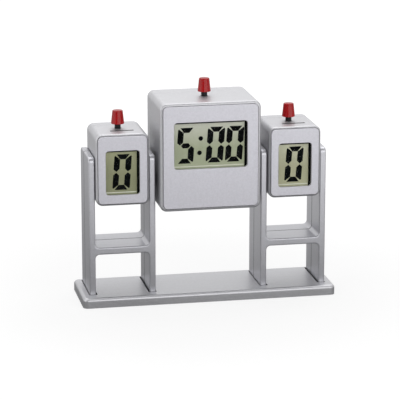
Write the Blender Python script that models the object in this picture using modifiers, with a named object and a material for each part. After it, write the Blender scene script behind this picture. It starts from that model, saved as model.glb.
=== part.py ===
"""Scoreboard timer for a table game.

A flat base carries two open towers. Each tower holds a small goal counter between its uprights,
and a larger countdown clock hangs between the two towers. Each of the three modules has a display
in its face, a red push button on its top, and a battery behind a door in its back.

Metres, +Z up, +X to the right as seen from the front, +Y to the back. The origin is on the table,
under the middle of the whole object.
"""
import math
from dataclasses import dataclass

import bmesh
import bpy
from mathutils import Matrix, Vector

MM = 0.001
AXES = "XYZ"

# Clearances between pieces
CLEARANCE = 0.3 * MM         # between pieces that touch or seat on each other
SLOT_PLAY_INSIDE = 0.8 * MM  # base slot beside an upright, on the side of the tower's window
SLOT_PLAY_OUTSIDE = 0.4 * MM
CLOCK_SIDE_GAP = 1.65 * MM   # clock housing to the upright beside it

# Housings of the clock and the two counters
WALL = 1.8 * MM
HOUSING_CORNER = 4.0 * MM    # radius of the corners seen from the front
HOUSING_FRONT_EDGE = 1.5 * MM
HOUSING_BACK_EDGE = 2.8 * MM
CLOCK_WIDTH = 59.5 * MM
CLOCK_HEIGHT = 64.0 * MM
CLOCK_DROP = 4.2 * MM        # how far the clock's bottom is below the counters'
CLOCK_FRONT_PROUD = 6.9 * MM   # clock housing ahead of the uprights
CLOCK_BACK_PROUD = 6.3 * MM
COUNTER_WIDTH = 31.2 * MM
COUNTER_HEIGHT = 42.4 * MM
COUNTER_BOTTOM = 59.9 * MM   # height over the table
COUNTER_FRONT_PROUD = 2.7 * MM
COUNTER_BACK_PROUD = 1.9 * MM
CLOCK_REAR_DEPTH = 13.0 * MM  # rear shells, from the seam to the back
COUNTER_REAR_DEPTH = 10.0 * MM
LIP_DEPTH = 1.5 * MM         # lip of the rear shell inside the front shell
LIP_REBATE = 0.9 * MM        # what the front shell's wall loses for that lip

# Face plates and displays
PLATE_THICKNESS = 1.6 * MM
PLATE_PROUD = 0.8 * MM
PLATE_CORNER = 2.6 * MM
PLATE_EDGE = 0.4 * MM
CLOCK_PLATE_MARGIN = 1.75 * MM
COUNTER_PLATE_MARGIN = 1.25 * MM
CLOCK_WINDOW_SIDE = 6.4 * MM    # plate left beside the window
CLOCK_WINDOW_ABOVE = 9.6 * MM
CLOCK_WINDOW_BELOW = 23.4 * MM
COUNTER_WINDOW_SIDE = 4.45 * MM
COUNTER_WINDOW_ABOVE = 8.5 * MM
COUNTER_WINDOW_BELOW = 5.3 * MM
WINDOW_CORNER = 1.8 * MM
DISPLAY_LAP = 1.6 * MM       # how far the display runs under the plate
LENS_THICKNESS = 0.8 * MM
LCD_THICKNESS = 2.0 * MM
STRIP_DEPTH = 1.6 * MM       # rubber connector strip between display and board
STRIP_HEIGHT = 2.0 * MM
BOARD_THICKNESS = 1.2 * MM
BOARD_OVER_DISPLAY = 1.0 * MM
BOARD_LEDGE = 1.6 * MM

# Push buttons
BUTTON_TRAVEL = 1.5 * MM
CLOCK_BUTTON_AHEAD = 2.6 * MM    # button axis ahead of the middle of the housing
COUNTER_BUTTON_AHEAD = 1.0 * MM
CAP_BOTTOM_DIAMETER = 7.8 * MM
CAP_TOP_DIAMETER = 6.1 * MM
CAP_HEIGHT = 8.1 * MM
CAP_DOME = 0.2 * MM
CAP_EDGE = 0.4 * MM
CAP_LIFT = 2.7 * MM          # cap over the housing at rest
CAP_BORE_DEPTH = 5.5 * MM
STEM_DIAMETER = 3.6 * MM
COLLAR_DIAMETER = 5.2 * MM
COLLAR_THICKNESS = 1.0 * MM
STEM_TAIL = 4.0 * MM         # stem under its collar
SPRING_WIRE = 0.4 * MM
SPRING_TURNS = 4.5
SWITCH_SIZE = 6.0 * MM
SWITCH_HEIGHT = 3.5 * MM
PLUNGER_DIAMETER = 3.0 * MM
PLUNGER_HEIGHT = 1.0 * MM
CRADLE_WALL = 1.2 * MM

# Card slot in the top of each counter
CARD_SLOT_LENGTH = 13.0 * MM
CARD_SLOT_WIDTH = 1.0 * MM
CARD_SLOT_DEPTH = 6.0 * MM
CARD_SLOT_ASIDE = 1.2 * MM   # slot's middle to the right of the button
CARD_POCKET_WALL = 0.6 * MM
CARD_POCKET_BEHIND_BOARD = 0.6 * MM

# Battery, its door and its contact, the same in all three modules
CELL_DIAMETER = 11.6 * MM
CELL_THICKNESS = 5.4 * MM
CELL_RISE = 5.0 * MM         # battery pocket above the housing's floor
POCKET_WALL = 1.2 * MM
POCKET_FLOOR = 1.0 * MM
DOOR_LAP = 1.5 * MM
DOOR_THICKNESS = 1.4 * MM
DOOR_CORNER = 1.5 * MM
DOOR_LUG = 1.4 * MM
DOOR_GRIP_WIDTH = 7.0 * MM
DOOR_GRIP_HEIGHT = 1.6 * MM
DOOR_GRIP_DEPTH = 0.6 * MM
CONTACT_THICKNESS = 0.3 * MM
CONTACT_WIDTH = 4.0 * MM
CONTACT_TAIL = 3.0 * MM

# Buzzer in the clock's back
BUZZER_DIAMETER = 12.0 * MM
BUZZER_THICKNESS = 1.2 * MM
BUZZER_RING_WALL = 1.2 * MM
BUZZER_OVER_POCKET = 2.5 * MM
SOUND_SLOT_LENGTH = 7.0 * MM
SOUND_SLOT_WIDTH = 1.2 * MM
SOUND_SLOT_PITCH = 2.6 * MM

# Screws
SCREW_DIAMETER = 1.8 * MM
SCREW_HEAD_DIAMETER = 3.4 * MM
SCREW_HEAD_HEIGHT = 0.9 * MM
SCREW_BITE = 7.0 * MM        # how deep a screw goes into the piece it holds
SCREW_POST_DIAMETER = 5.4 * MM
POST_LAP_SIDE = 0.5 * MM     # how far a screw post runs into the side wall
POST_LAP_TOP = 0.8 * MM
BOSS_SETBACK = 0.2 * MM      # rear boss behind the front edge of its shell's lip
SCREW_SEAT = 1.5 * MM        # wall under a case screw's head
DRIVER_SLOT_LENGTH = 2.0 * MM
DRIVER_SLOT_WIDTH = 0.5 * MM
DRIVER_SLOT_DEPTH = 0.4 * MM

# Towers
UPRIGHT_THICKNESS = 3.7 * MM
TOWER_DEPTH = 31.4 * MM
TOWER_SEAM_FROM_BACK = 13.2 * MM
UPRIGHT_BESIDE_COUNTER = 28.5 * MM   # uprights end this far above the counters' bottoms
UPRIGHT_TOP_ROUND = 3.0 * MM
UPRIGHT_EDGE = 0.8 * MM
CROSSBAR_BOTTOM = 30.1 * MM
CROSSBAR_THICKNESS = 4.2 * MM
FRAME_FILLET = 2.4 * MM
DOWEL_DIAMETER = 1.6 * MM
DOWEL_LENGTH = 4.0 * MM
DOWEL_OVER_CROSSBAR = 11.0 * MM
PEG_DIAMETER = 3.0 * MM
COUNTER_PEG_RISE = 20.0 * MM  # peg over the bottom of its housing
CLOCK_PEG_RISE = 14.0 * MM
PEG_COLLAR_DIAMETER = 7.0 * MM

# Base
BASE_HEIGHT = 5.9 * MM
BASE_END_MARGIN = 4.8 * MM   # base beyond the towers at each end
BASE_FRONT_MARGIN = 7.9 * MM
BASE_BACK_MARGIN = 3.7 * MM
BASE_CORNER = 3.0 * MM
BASE_EDGE = 2.0 * MM
BASE_WALL = 1.8 * MM
BASE_RIB = 1.2 * MM
COVER_THICKNESS = 1.8 * MM
SLOT_FLOOR = 1.0 * MM
SLOT_WALL = 1.2 * MM
COVER_SCREW_WEB = 0.6 * MM   # cover left over the screw heads
PAD_DIAMETER = 9.0 * MM
PAD_PROUD = 0.3 * MM
PAD_RECESS = 0.9 * MM
PAD_INSET = 7.5 * MM
PAD_EDGE = 0.2 * MM

# How finely round shapes are faceted, how far a joined detail runs into its wall, and tolerances
ROUND_STEPS = 24
SMALL_ROUND_STEPS = 16       # pegs, posts and screw heads
SHANK_STEPS = 12             # screws, dowels and their holes
CORNER_STEPS = 4
HOUSING_EDGE_STEPS = 3
EDGE_STEPS = 2
SPRING_STEPS = 12            # points in a turn of a spring
SPRING_WIRE_STEPS = 1
SLOT_END_ROUND = 0.48        # round ends of a slot, as a share of its width
EMBED = 0.5 * MM
PAST = 5.0 * MM              # how far a cutter runs past the face it cuts
FAR_PAST = 20.0 * MM         # the same where the face has rounded corners to miss
TINY = 0.001 * MM
PARALLEL = 0.999
SOFT_EDGE_ANGLE = math.radians(60)
SMOOTH_ANGLE = math.radians(35)

# Places that follow from the sizes
TOTAL_DEPTH = BASE_FRONT_MARGIN + TOWER_DEPTH + CLOCK_BACK_PROUD
BASE_FRONT = -TOTAL_DEPTH / 2
TOWER_FRONT = BASE_FRONT + BASE_FRONT_MARGIN
TOWER_BACK = TOWER_FRONT + TOWER_DEPTH
BASE_BACK = TOWER_BACK + BASE_BACK_MARGIN
TOWER_SEAM = TOWER_BACK - TOWER_SEAM_FROM_BACK
BASE_BOTTOM = PAD_PROUD
BASE_TOP = BASE_BOTTOM + BASE_HEIGHT
COVER_TOP = BASE_BOTTOM + COVER_THICKNESS
SLOT_FLOOR_TOP = COVER_TOP + CLEARANCE + SLOT_FLOOR
TOWER_FOOT = SLOT_FLOOR_TOP + CLEARANCE
TOWER_TOP = COUNTER_BOTTOM + UPRIGHT_BESIDE_COUNTER
CROSSBAR_TOP = CROSSBAR_BOTTOM + CROSSBAR_THICKNESS
TOWER_WINDOW_WIDTH = COUNTER_WIDTH + 2 * CLEARANCE
TOWER_INSIDE = CLOCK_WIDTH / 2 + CLOCK_SIDE_GAP
TOWER_OUTSIDE = TOWER_INSIDE + TOWER_WINDOW_WIDTH + 2 * UPRIGHT_THICKNESS
TOWER_MIDDLE = (TOWER_INSIDE + TOWER_OUTSIDE) / 2
BASE_LENGTH = 2 * (TOWER_OUTSIDE + BASE_END_MARGIN)
PEG_REACH = UPRIGHT_THICKNESS / 2 - CLEARANCE
SCREW_HOLE_DIAMETER = SCREW_DIAMETER + 2 * CLEARANCE
SCREW_HEAD_HOLE_DIAMETER = SCREW_HEAD_DIAMETER + 2 * CLEARANCE
TOWER_SCREW_Y = (TOWER_FRONT + TOWER_SEAM) / 2
POCKET_SIZE = CELL_DIAMETER + 2 * CLEARANCE
DOOR_SIZE = POCKET_SIZE + 2 * DOOR_LAP
POCKET_BLOCK_SIZE = DOOR_SIZE + 2 * CLEARANCE + 2 * POCKET_WALL


@dataclass
class Module:
    """One display module: a clock or a counter, and what follows from its outer sizes."""

    name: str
    is_clock: bool
    middle: float
    width: float
    bottom: float
    height: float
    front_proud: float
    back_proud: float
    rear_depth: float
    plate_margin: float
    window_side: float
    window_above: float
    window_below: float
    button_ahead: float
    peg_rise: float
    side_gap: float

    def __post_init__(self):
        self.top = self.bottom + self.height
        self.left = self.middle - self.width / 2
        self.right = self.middle + self.width / 2
        self.front = TOWER_FRONT - self.front_proud
        self.back = TOWER_BACK + self.back_proud
        self.seam = self.back - self.rear_depth
        self.boss_front = self.seam - LIP_DEPTH + BOSS_SETBACK
        self.post_end = self.seam - LIP_DEPTH - CLEARANCE
        self.screw_seat = self.boss_front + SCREW_SEAT
        # Layers behind the face, from front to back
        self.plate_front = self.front - PLATE_PROUD
        self.plate_back = self.plate_front + PLATE_THICKNESS
        self.lens_front = self.plate_back + CLEARANCE
        self.lens_back = self.lens_front + LENS_THICKNESS
        self.lcd_front = self.lens_back + CLEARANCE
        self.lcd_back = self.lcd_front + LCD_THICKNESS
        self.board_front = self.lcd_back + STRIP_DEPTH + 2 * CLEARANCE
        self.board_back = self.board_front + BOARD_THICKNESS
        self.room_front = self.lens_front + WALL
        self.room_top = self.top - WALL
        self.room_bottom = self.bottom + WALL
        # Plate, window and display, each as left, right, bottom, top
        self.plate = (self.left + self.plate_margin, self.right - self.plate_margin,
                      self.bottom + self.plate_margin, self.top - self.plate_margin)
        self.window = (self.plate[0] + self.window_side, self.plate[1] - self.window_side,
                       self.plate[2] + self.window_below, self.plate[3] - self.window_above)
        self.display = grown(self.window, DISPLAY_LAP)
        self.button_y = (self.front + self.back) / 2 - self.button_ahead
        self.peg_z = self.bottom + self.peg_rise
        self.post_x = self.right - WALL + POST_LAP_SIDE - SCREW_POST_DIAMETER / 2
        self.post_z = self.room_top + POST_LAP_TOP - SCREW_POST_DIAMETER / 2
        # Button parts under the top wall, from the collar down
        self.collar_top = self.room_top - CLEARANCE
        self.collar_bottom = self.collar_top - COLLAR_THICKNESS
        self.stem_bottom = self.collar_bottom - STEM_TAIL
        self.plunger_top = self.stem_bottom - BUTTON_TRAVEL - CLEARANCE
        self.switch_top = self.plunger_top - PLUNGER_HEIGHT
        self.switch_bottom = self.switch_top - SWITCH_HEIGHT
        self.cap_bottom = self.top + CAP_LIFT
        # Battery pocket, from the back to the front
        self.cell_z = self.room_bottom + CELL_RISE + POCKET_BLOCK_SIZE / 2
        self.door_front = self.back - DOOR_THICKNESS
        self.cell_back = self.door_front - CLEARANCE
        self.cell_front = self.cell_back - CELL_THICKNESS
        self.contact_front = self.cell_front - CLEARANCE - CONTACT_THICKNESS
        self.pocket_floor = self.contact_front - CLEARANCE


def grown(rectangle, margin):
    """A left, right, bottom, top rectangle made larger by a margin on every side."""
    left, right, bottom, top = rectangle
    return (left - margin, right + margin, bottom - margin, top + margin)


# Scene and materials

def clear_scene():
    for old in list(bpy.data.objects):
        bpy.data.objects.remove(old, do_unlink=True)


def new_collection(name):
    collection = bpy.data.collections.new(name)
    bpy.context.scene.collection.children.link(collection)
    return collection


def principled(name, colour, roughness, metallic=0.0, alpha=1.0):
    material = bpy.data.materials.new(name)
    material.use_nodes = True
    material.diffuse_color = (*colour, alpha)
    shader = material.node_tree.nodes["Principled BSDF"]
    shader.inputs["Base Color"].default_value = (*colour, 1.0)
    shader.inputs["Roughness"].default_value = roughness
    shader.inputs["Metallic"].default_value = metallic
    shader.inputs["Alpha"].default_value = alpha
    return material


def silver_plastic():
    return principled("silver_plastic", (0.56, 0.56, 0.60), 0.38, 0.45)


def face_silver():
    return principled("face_silver", (0.60, 0.60, 0.64), 0.42, 0.40)


def red_plastic():
    return principled("red_plastic", (0.62, 0.008, 0.012), 0.18)


def black_plastic():
    return principled("black_plastic", (0.012, 0.012, 0.013), 0.40)


def clear_plastic():
    return principled("clear_plastic", (0.92, 0.94, 0.93), 0.05, alpha=0.25)


def display_glass():
    return principled("display_glass", (0.36, 0.38, 0.21), 0.25)


def board_green():
    return principled("board_green", (0.02, 0.16, 0.05), 0.45)


def steel():
    return principled("steel", (0.56, 0.57, 0.58), 0.28, 1.0)


def brass():
    return principled("brass", (0.72, 0.50, 0.18), 0.35, 1.0)


def grey_rubber():
    return principled("grey_rubber", (0.06, 0.06, 0.065), 0.85)


# Meshes

def box(low, high):
    """A plain box between two corners."""
    bm = bmesh.new()
    bmesh.ops.create_cube(bm, size=1.0)
    size = Vector(high) - Vector(low)
    centre = (Vector(high) + Vector(low)) / 2
    bmesh.ops.scale(bm, vec=size, verts=bm.verts)
    bmesh.ops.translate(bm, vec=centre, verts=bm.verts)
    return bm


def slab(rectangle, front, back):
    """A box from a left, right, bottom, top rectangle, between two depths."""
    left, right, bottom, top = rectangle
    return box((left, front, bottom), (right, back, top))


def round_along(bm, axis, radius, steps=CORNER_STEPS):
    """Round the edges that run along an axis."""
    edges = []
    for edge in bm.edges:
        run = edge.verts[1].co - edge.verts[0].co
        if abs(run[AXES.index(axis)]) > PARALLEL * run.length:
            edges.append(edge)
    bevel(bm, edges, radius, steps)
    return bm


def round_rim(bm, axis, level, radius, steps=EDGE_STEPS):
    """Round the edges round a flat end face."""
    edges = []
    for edge in bm.edges:
        if all(abs(vert.co[AXES.index(axis)] - level) < TINY for vert in edge.verts):
            edges.append(edge)
    bevel(bm, edges, radius, steps)
    return bm


def bevel(bm, edges, radius, steps):
    bmesh.ops.bevel(bm, geom=edges, offset=radius, offset_type="OFFSET", segments=steps,
                    profile=0.5, affect="EDGES", clamp_overlap=True)


def drum(centre, diameter, axis, start, end, steps=ROUND_STEPS):
    """A cylinder along an axis, between two levels on it; centre gives the other two places."""
    bm = bmesh.new()
    bmesh.ops.create_cone(bm, cap_ends=True, cap_tris=False, segments=steps,
                          radius1=diameter / 2, radius2=diameter / 2, depth=abs(end - start))
    turns = {"X": Matrix.Rotation(math.pi / 2, 4, "Y"), "Y": Matrix.Rotation(math.pi / 2, 4, "X"),
             "Z": Matrix.Identity(4)}
    place = list(centre)
    place.insert(AXES.index(axis), (start + end) / 2)
    bmesh.ops.transform(bm, matrix=Matrix.Translation(place) @ turns[axis], verts=bm.verts)
    return bm


class Builder:
    """Makes the parts, and keeps what is cut from them or joined to them out of sight."""

    def __init__(self):
        self.parts = new_collection("scoreboard_timer")
        self.tools = new_collection("cutters")

    def part(self, name, bm, material, origin=None):
        """A sub-part from a bmesh, with its origin at a point where it moves."""
        mesh = bpy.data.meshes.new(name)
        bm.to_mesh(mesh)
        bm.free()
        obj = bpy.data.objects.new(name, mesh)
        if origin is not None:
            mesh.transform(Matrix.Translation(-Vector(origin)))
            obj.location = origin
        mesh.materials.append(material)
        self.parts.objects.link(obj)
        return obj

    def use(self, obj, bm, operation):
        mesh = bpy.data.meshes.new(f"{obj.name}_{operation.lower()}")
        bm.to_mesh(mesh)
        bm.free()
        tool = bpy.data.objects.new(mesh.name, mesh)
        tool.hide_render = True
        tool.display_type = "WIRE"
        self.tools.objects.link(tool)
        modifier = obj.modifiers.new(tool.name, "BOOLEAN")
        modifier.operation = operation
        # Shells take many joins and cuts close together, where the exact solver can leave loose edges
        modifier.solver = "MANIFOLD" if obj.name.endswith("_shell") else "EXACT"
        modifier.object = tool

    def cut(self, obj, bm):
        self.use(obj, bm, "DIFFERENCE")

    def join(self, obj, bm):
        self.use(obj, bm, "UNION")

    def turned(self, name, profile, axis_xy, material):
        """A turned piece: its profile of radius and height runs down the outside first."""
        mesh = bpy.data.meshes.new(name)
        base = profile[0][1]
        points = [(radius, 0.0, height - base) for radius, height in profile]
        links = [(index, index + 1) for index in range(len(points) - 1)]
        mesh.from_pydata(points, links, [])
        obj = bpy.data.objects.new(name, mesh)
        obj.location = (axis_xy[0], axis_xy[1], base)
        screw = obj.modifiers.new("turn", "SCREW")
        screw.steps = ROUND_STEPS
        screw.render_steps = ROUND_STEPS
        screw.use_merge_vertices = True
        screw.merge_threshold = 0.00001
        screw.use_smooth_shade = True
        mesh.materials.append(material)
        self.parts.objects.link(obj)
        return obj


# Base

def make_base(build, looks):
    half = BASE_LENGTH / 2
    shell_mesh = box((-half, BASE_FRONT, BASE_BOTTOM), (half, BASE_BACK, BASE_TOP))
    round_along(shell_mesh, "Z", BASE_CORNER)
    round_rim(shell_mesh, "Z", BASE_TOP, BASE_EDGE, HOUSING_EDGE_STEPS)
    shell = build.part("base_shell", shell_mesh, looks["silver"])
    room = (half - BASE_WALL, BASE_FRONT + BASE_WALL, BASE_BACK - BASE_WALL)
    hollow = box((-room[0], room[1], BASE_BOTTOM - PAST), (room[0], room[2], BASE_TOP - BASE_WALL))
    build.cut(shell, round_along(hollow, "Z", BASE_CORNER / 2))

    rib_bottom = COVER_TOP + CLEARANCE
    rib_y = (BASE_FRONT + BASE_BACK) / 2
    build.join(shell, box((-room[0] - EMBED, rib_y - BASE_RIB / 2, rib_bottom),
                          (room[0] + EMBED, rib_y + BASE_RIB / 2, BASE_TOP - BASE_WALL + EMBED)))
    for left, right in slot_edges():
        front = TOWER_FRONT - SLOT_PLAY_OUTSIDE
        back = TOWER_BACK + SLOT_PLAY_OUTSIDE
        build.join(shell, box((left - SLOT_WALL, front - SLOT_WALL, rib_bottom),
                              (right + SLOT_WALL, back + SLOT_WALL, BASE_TOP - BASE_WALL + EMBED)))
        build.cut(shell, box((left, front, SLOT_FLOOR_TOP), (right, back, BASE_TOP + PAST)))
    for x in screw_places():
        build.cut(shell, drum((x, TOWER_SCREW_Y), SCREW_HOLE_DIAMETER, "Z", rib_bottom - PAST,
                              SLOT_FLOOR_TOP + CLEARANCE, SHANK_STEPS))

    cover_mesh = box((-room[0] + CLEARANCE, room[1] + CLEARANCE, BASE_BOTTOM),
                     (room[0] - CLEARANCE, room[2] - CLEARANCE, COVER_TOP))
    cover = build.part("base_cover", round_along(cover_mesh, "Z", BASE_CORNER / 2), looks["black"])
    head_hole_top = COVER_TOP - COVER_SCREW_WEB
    for x in screw_places():
        build.cut(cover, drum((x, TOWER_SCREW_Y), SCREW_HEAD_HOLE_DIAMETER, "Z",
                              BASE_BOTTOM - PAST, head_hole_top, SMALL_ROUND_STEPS))
        build.cut(cover, drum((x, TOWER_SCREW_Y), SCREW_HOLE_DIAMETER, "Z",
                              BASE_BOTTOM - PAST, COVER_TOP + PAST, SHANK_STEPS))
    make_pads(build, cover, looks)
    make_tower_screws(build, head_hole_top - CLEARANCE, looks)


def slot_edges():
    """Left and right edges of the four slots, wider on the side of the tower's window."""
    inner = TOWER_INSIDE
    outer = TOWER_OUTSIDE - UPRIGHT_THICKNESS
    edges = []
    for start, play_in, play_out in ((inner, SLOT_PLAY_OUTSIDE, SLOT_PLAY_INSIDE),
                                     (outer, SLOT_PLAY_INSIDE, SLOT_PLAY_OUTSIDE)):
        near = start - play_in
        far = start + UPRIGHT_THICKNESS + play_out
        edges.append((near, far))
        edges.append((-far, -near))
    return edges


def screw_places():
    """Where the four tower screws stand across the base, from left to right."""
    inner = TOWER_INSIDE + UPRIGHT_THICKNESS / 2
    outer = TOWER_OUTSIDE - UPRIGHT_THICKNESS / 2
    return (-outer, -inner, inner, outer)


def make_pads(build, cover, looks):
    pad_top = BASE_BOTTOM + PAD_RECESS - CLEARANCE
    for side, x in (("left", -BASE_LENGTH / 2 + PAD_INSET), ("right", BASE_LENGTH / 2 - PAD_INSET)):
        for end, y in (("front", BASE_FRONT + PAD_INSET), ("back", BASE_BACK - PAD_INSET)):
            build.cut(cover, drum((x, y), PAD_DIAMETER + 2 * CLEARANCE, "Z", BASE_BOTTOM - PAST,
                                  BASE_BOTTOM + PAD_RECESS))
            pad = drum((x, y), PAD_DIAMETER, "Z", 0.0, pad_top)
            round_rim(pad, "Z", 0.0, PAD_EDGE, 1)
            build.part(f"rubber_foot_{side}_{end}", pad, looks["rubber"])


def screw(build, name, seat, tip_length, place, direction, axis, looks):
    """A cross-head screw; seat is where its head bears, and direction where its tip points."""
    head_end = seat - direction * SCREW_HEAD_HEIGHT
    head = drum(place, SCREW_HEAD_DIAMETER, axis, *sorted((seat, head_end)), steps=SMALL_ROUND_STEPS)
    obj = build.part(name, head, looks["steel"])
    inside = seat - direction * SCREW_HEAD_HEIGHT / 2
    tip = seat + direction * tip_length
    build.join(obj, drum(place, SCREW_DIAMETER, axis, *sorted((inside, tip)), steps=SHANK_STEPS))
    slot_floor = head_end + direction * DRIVER_SLOT_DEPTH
    slot_start = head_end - direction * PAST
    levels = sorted((slot_start, slot_floor))
    for long_axis in (0, 1):
        half = [DRIVER_SLOT_WIDTH / 2, DRIVER_SLOT_WIDTH / 2]
        half[long_axis] = DRIVER_SLOT_LENGTH / 2
        low = [place[0] - half[0], place[1] - half[1]]
        high = [place[0] + half[0], place[1] + half[1]]
        low.insert(AXES.index(axis), levels[0])
        high.insert(AXES.index(axis), levels[1])
        build.cut(obj, box(low, high))
    return obj


def make_tower_screws(build, seat, looks):
    names = ("left_outer", "left_inner", "right_inner", "right_outer")
    for name, x in zip(names, screw_places()):
        tip_length = TOWER_FOOT - seat + SCREW_BITE
        screw(build, f"tower_screw_{name}", seat, tip_length, (x, TOWER_SCREW_Y), 1, "Z", looks)


# Towers

def make_tower(build, side, sign, modules, looks):
    """Front and rear halves of one tower; sign is -1 on the left and 1 on the right."""
    low_x, high_x = sorted((sign * TOWER_INSIDE, sign * TOWER_OUTSIDE))
    window = (low_x + UPRIGHT_THICKNESS, high_x - UPRIGHT_THICKNESS)
    seam_faces = {"front": TOWER_SEAM - CLEARANCE / 2, "rear": TOWER_SEAM + CLEARANCE / 2}
    for half, face in seam_faces.items():
        block = box((low_x, TOWER_FRONT, TOWER_FOOT), (high_x, TOWER_BACK, TOWER_TOP))
        round_top_ends(block)
        obj = build.part(f"{side}_tower_{half}", block, looks["silver"])
        lower = box((window[0], TOWER_FRONT - PAST, TOWER_FOOT - FAR_PAST),
                    (window[1], TOWER_BACK + PAST, CROSSBAR_BOTTOM))
        upper = box((window[0], TOWER_FRONT - PAST, CROSSBAR_TOP),
                    (window[1], TOWER_BACK + PAST, TOWER_TOP + FAR_PAST))
        build.cut(obj, round_along(lower, "Y", FRAME_FILLET))
        build.cut(obj, round_along(upper, "Y", FRAME_FILLET))
        edge = obj.modifiers.new("soft_edges", "BEVEL")
        edge.width = UPRIGHT_EDGE
        edge.segments = EDGE_STEPS
        edge.limit_method = "ANGLE"
        edge.angle_limit = SOFT_EDGE_ANGLE
        ends = (face, TOWER_BACK + PAST) if half == "front" else (TOWER_FRONT - PAST, face)
        build.cut(obj, box((low_x - PAST, ends[0], TOWER_FOOT - PAST),
                           (high_x + PAST, ends[1], TOWER_TOP + PAST)))
        cut_peg_holes(build, obj, sign, modules)
        fit_dowels(build, obj, half, sign)
        if half == "front":
            for x in screw_places():
                if x * sign > 0:
                    build.cut(obj, drum((x, TOWER_SCREW_Y), SCREW_HOLE_DIAMETER, "Z", TOWER_FOOT - PAST,
                                        TOWER_FOOT + SCREW_BITE + CLEARANCE, SHANK_STEPS))


def round_top_ends(block):
    """Round the front and back ends of the uprights' tops."""
    edges = []
    for edge in block.edges:
        start, end = (vert.co for vert in edge.verts)
        if abs(start.z - TOWER_TOP) < TINY and abs(end.z - TOWER_TOP) < TINY:
            if abs(start.y - end.y) < TINY:
                edges.append(edge)
    bevel(block, edges, UPRIGHT_TOP_ROUND, CORNER_STEPS)


def cut_peg_holes(build, obj, sign, modules):
    """Blind holes, half in each tower half, for the pegs of the clock and of this tower's counter."""
    clock, counter = modules
    depth = PEG_REACH + CLEARANCE
    inner_window_face = TOWER_INSIDE + UPRIGHT_THICKNESS
    outer_window_face = TOWER_OUTSIDE - UPRIGHT_THICKNESS
    holes = ((TOWER_INSIDE - PAST, TOWER_INSIDE + depth, clock.peg_z),
             (inner_window_face - depth, inner_window_face + PAST, counter.peg_z),
             (outer_window_face - PAST, outer_window_face + depth, counter.peg_z))
    for start, end, z in holes:
        build.cut(obj, drum((TOWER_SEAM, z), PEG_DIAMETER + 2 * CLEARANCE, "X",
                            *sorted((sign * start, sign * end)), steps=SMALL_ROUND_STEPS))


def fit_dowels(build, obj, half, sign):
    """A dowel on the front half of each upright, and its hole in the rear half."""
    z = CROSSBAR_TOP + DOWEL_OVER_CROSSBAR
    for x in (TOWER_INSIDE + UPRIGHT_THICKNESS / 2, TOWER_OUTSIDE - UPRIGHT_THICKNESS / 2):
        if half == "front":
            build.join(obj, drum((sign * x, z), DOWEL_DIAMETER, "Y", TOWER_SEAM - 2 * EMBED,
                                 TOWER_SEAM + DOWEL_LENGTH, SHANK_STEPS))
        else:
            build.cut(obj, drum((sign * x, z), DOWEL_DIAMETER + 2 * CLEARANCE, "Y", TOWER_SEAM - PAST,
                                TOWER_SEAM + DOWEL_LENGTH + CLEARANCE, SHANK_STEPS))


# Display modules

def outline(module, margin=0.0):
    return grown((module.left, module.right, module.bottom, module.top), margin)


def make_front_shell(build, module, looks):
    shell_mesh = slab(outline(module), module.front, module.seam)
    round_along(shell_mesh, "Y", HOUSING_CORNER)
    round_rim(shell_mesh, "Y", module.front, HOUSING_FRONT_EDGE, HOUSING_EDGE_STEPS)
    shell = build.part(f"{module.name}_front_shell", shell_mesh, looks["silver"])
    room = slab(outline(module, -WALL), module.room_front, module.seam + PAST)
    build.cut(shell, round_along(room, "Y", HOUSING_CORNER - WALL))
    rebate = slab(outline(module, LIP_REBATE - WALL), module.seam - LIP_DEPTH - CLEARANCE,
                  module.seam + PAST)
    build.cut(shell, round_along(rebate, "Y", HOUSING_CORNER - WALL + LIP_REBATE))
    recess = slab(grown(module.plate, CLEARANCE), module.front - PAST, module.lens_front)
    build.cut(shell, round_along(recess, "Y", PLATE_CORNER + CLEARANCE))
    opening = slab(grown(module.display, CLEARANCE), module.front - PAST, module.room_front + PAST)
    build.cut(shell, round_along(opening, "Y", WINDOW_CORNER / 2, EDGE_STEPS))
    add_board_ledges(build, shell, module)
    add_switch_cradle(build, shell, module)
    add_side_pegs(build, shell, module)
    for x in post_places(module):
        place = (x, module.post_z)
        build.join(shell, drum(place, SCREW_POST_DIAMETER, "Y", module.room_front - EMBED,
                               module.post_end, SMALL_ROUND_STEPS))
        build.cut(shell, drum(place, SCREW_HOLE_DIAMETER, "Y",
                              module.post_end - SCREW_BITE - CLEARANCE, module.seam + PAST,
                              SHANK_STEPS))
    if not module.is_clock:
        add_card_slot(build, shell, module)
    stem_hole = drum((module.middle, module.button_y), STEM_DIAMETER + 2 * CLEARANCE, "Z",
                     module.room_top - CLEARANCE, module.top + PAST)
    build.cut(shell, stem_hole)


def post_places(module):
    """The clock has a case screw in both top corners, and a counter in one."""
    mirrored = 2 * module.middle - module.post_x
    return (mirrored, module.post_x) if module.is_clock else (module.post_x,)


def add_board_ledges(build, shell, module):
    """Ledges along both side walls, which the circuit board lies on."""
    bottom = module.display[2]
    top = module.display[3] - BOARD_OVER_DISPLAY
    for wall, inward in ((module.left + WALL, 1), (module.right - WALL, -1)):
        sides = sorted((wall - inward * EMBED, wall + inward * BOARD_LEDGE))
        build.join(shell, box((sides[0], module.room_front - EMBED, bottom),
                              (sides[1], module.board_front - CLEARANCE, top)))


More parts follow.
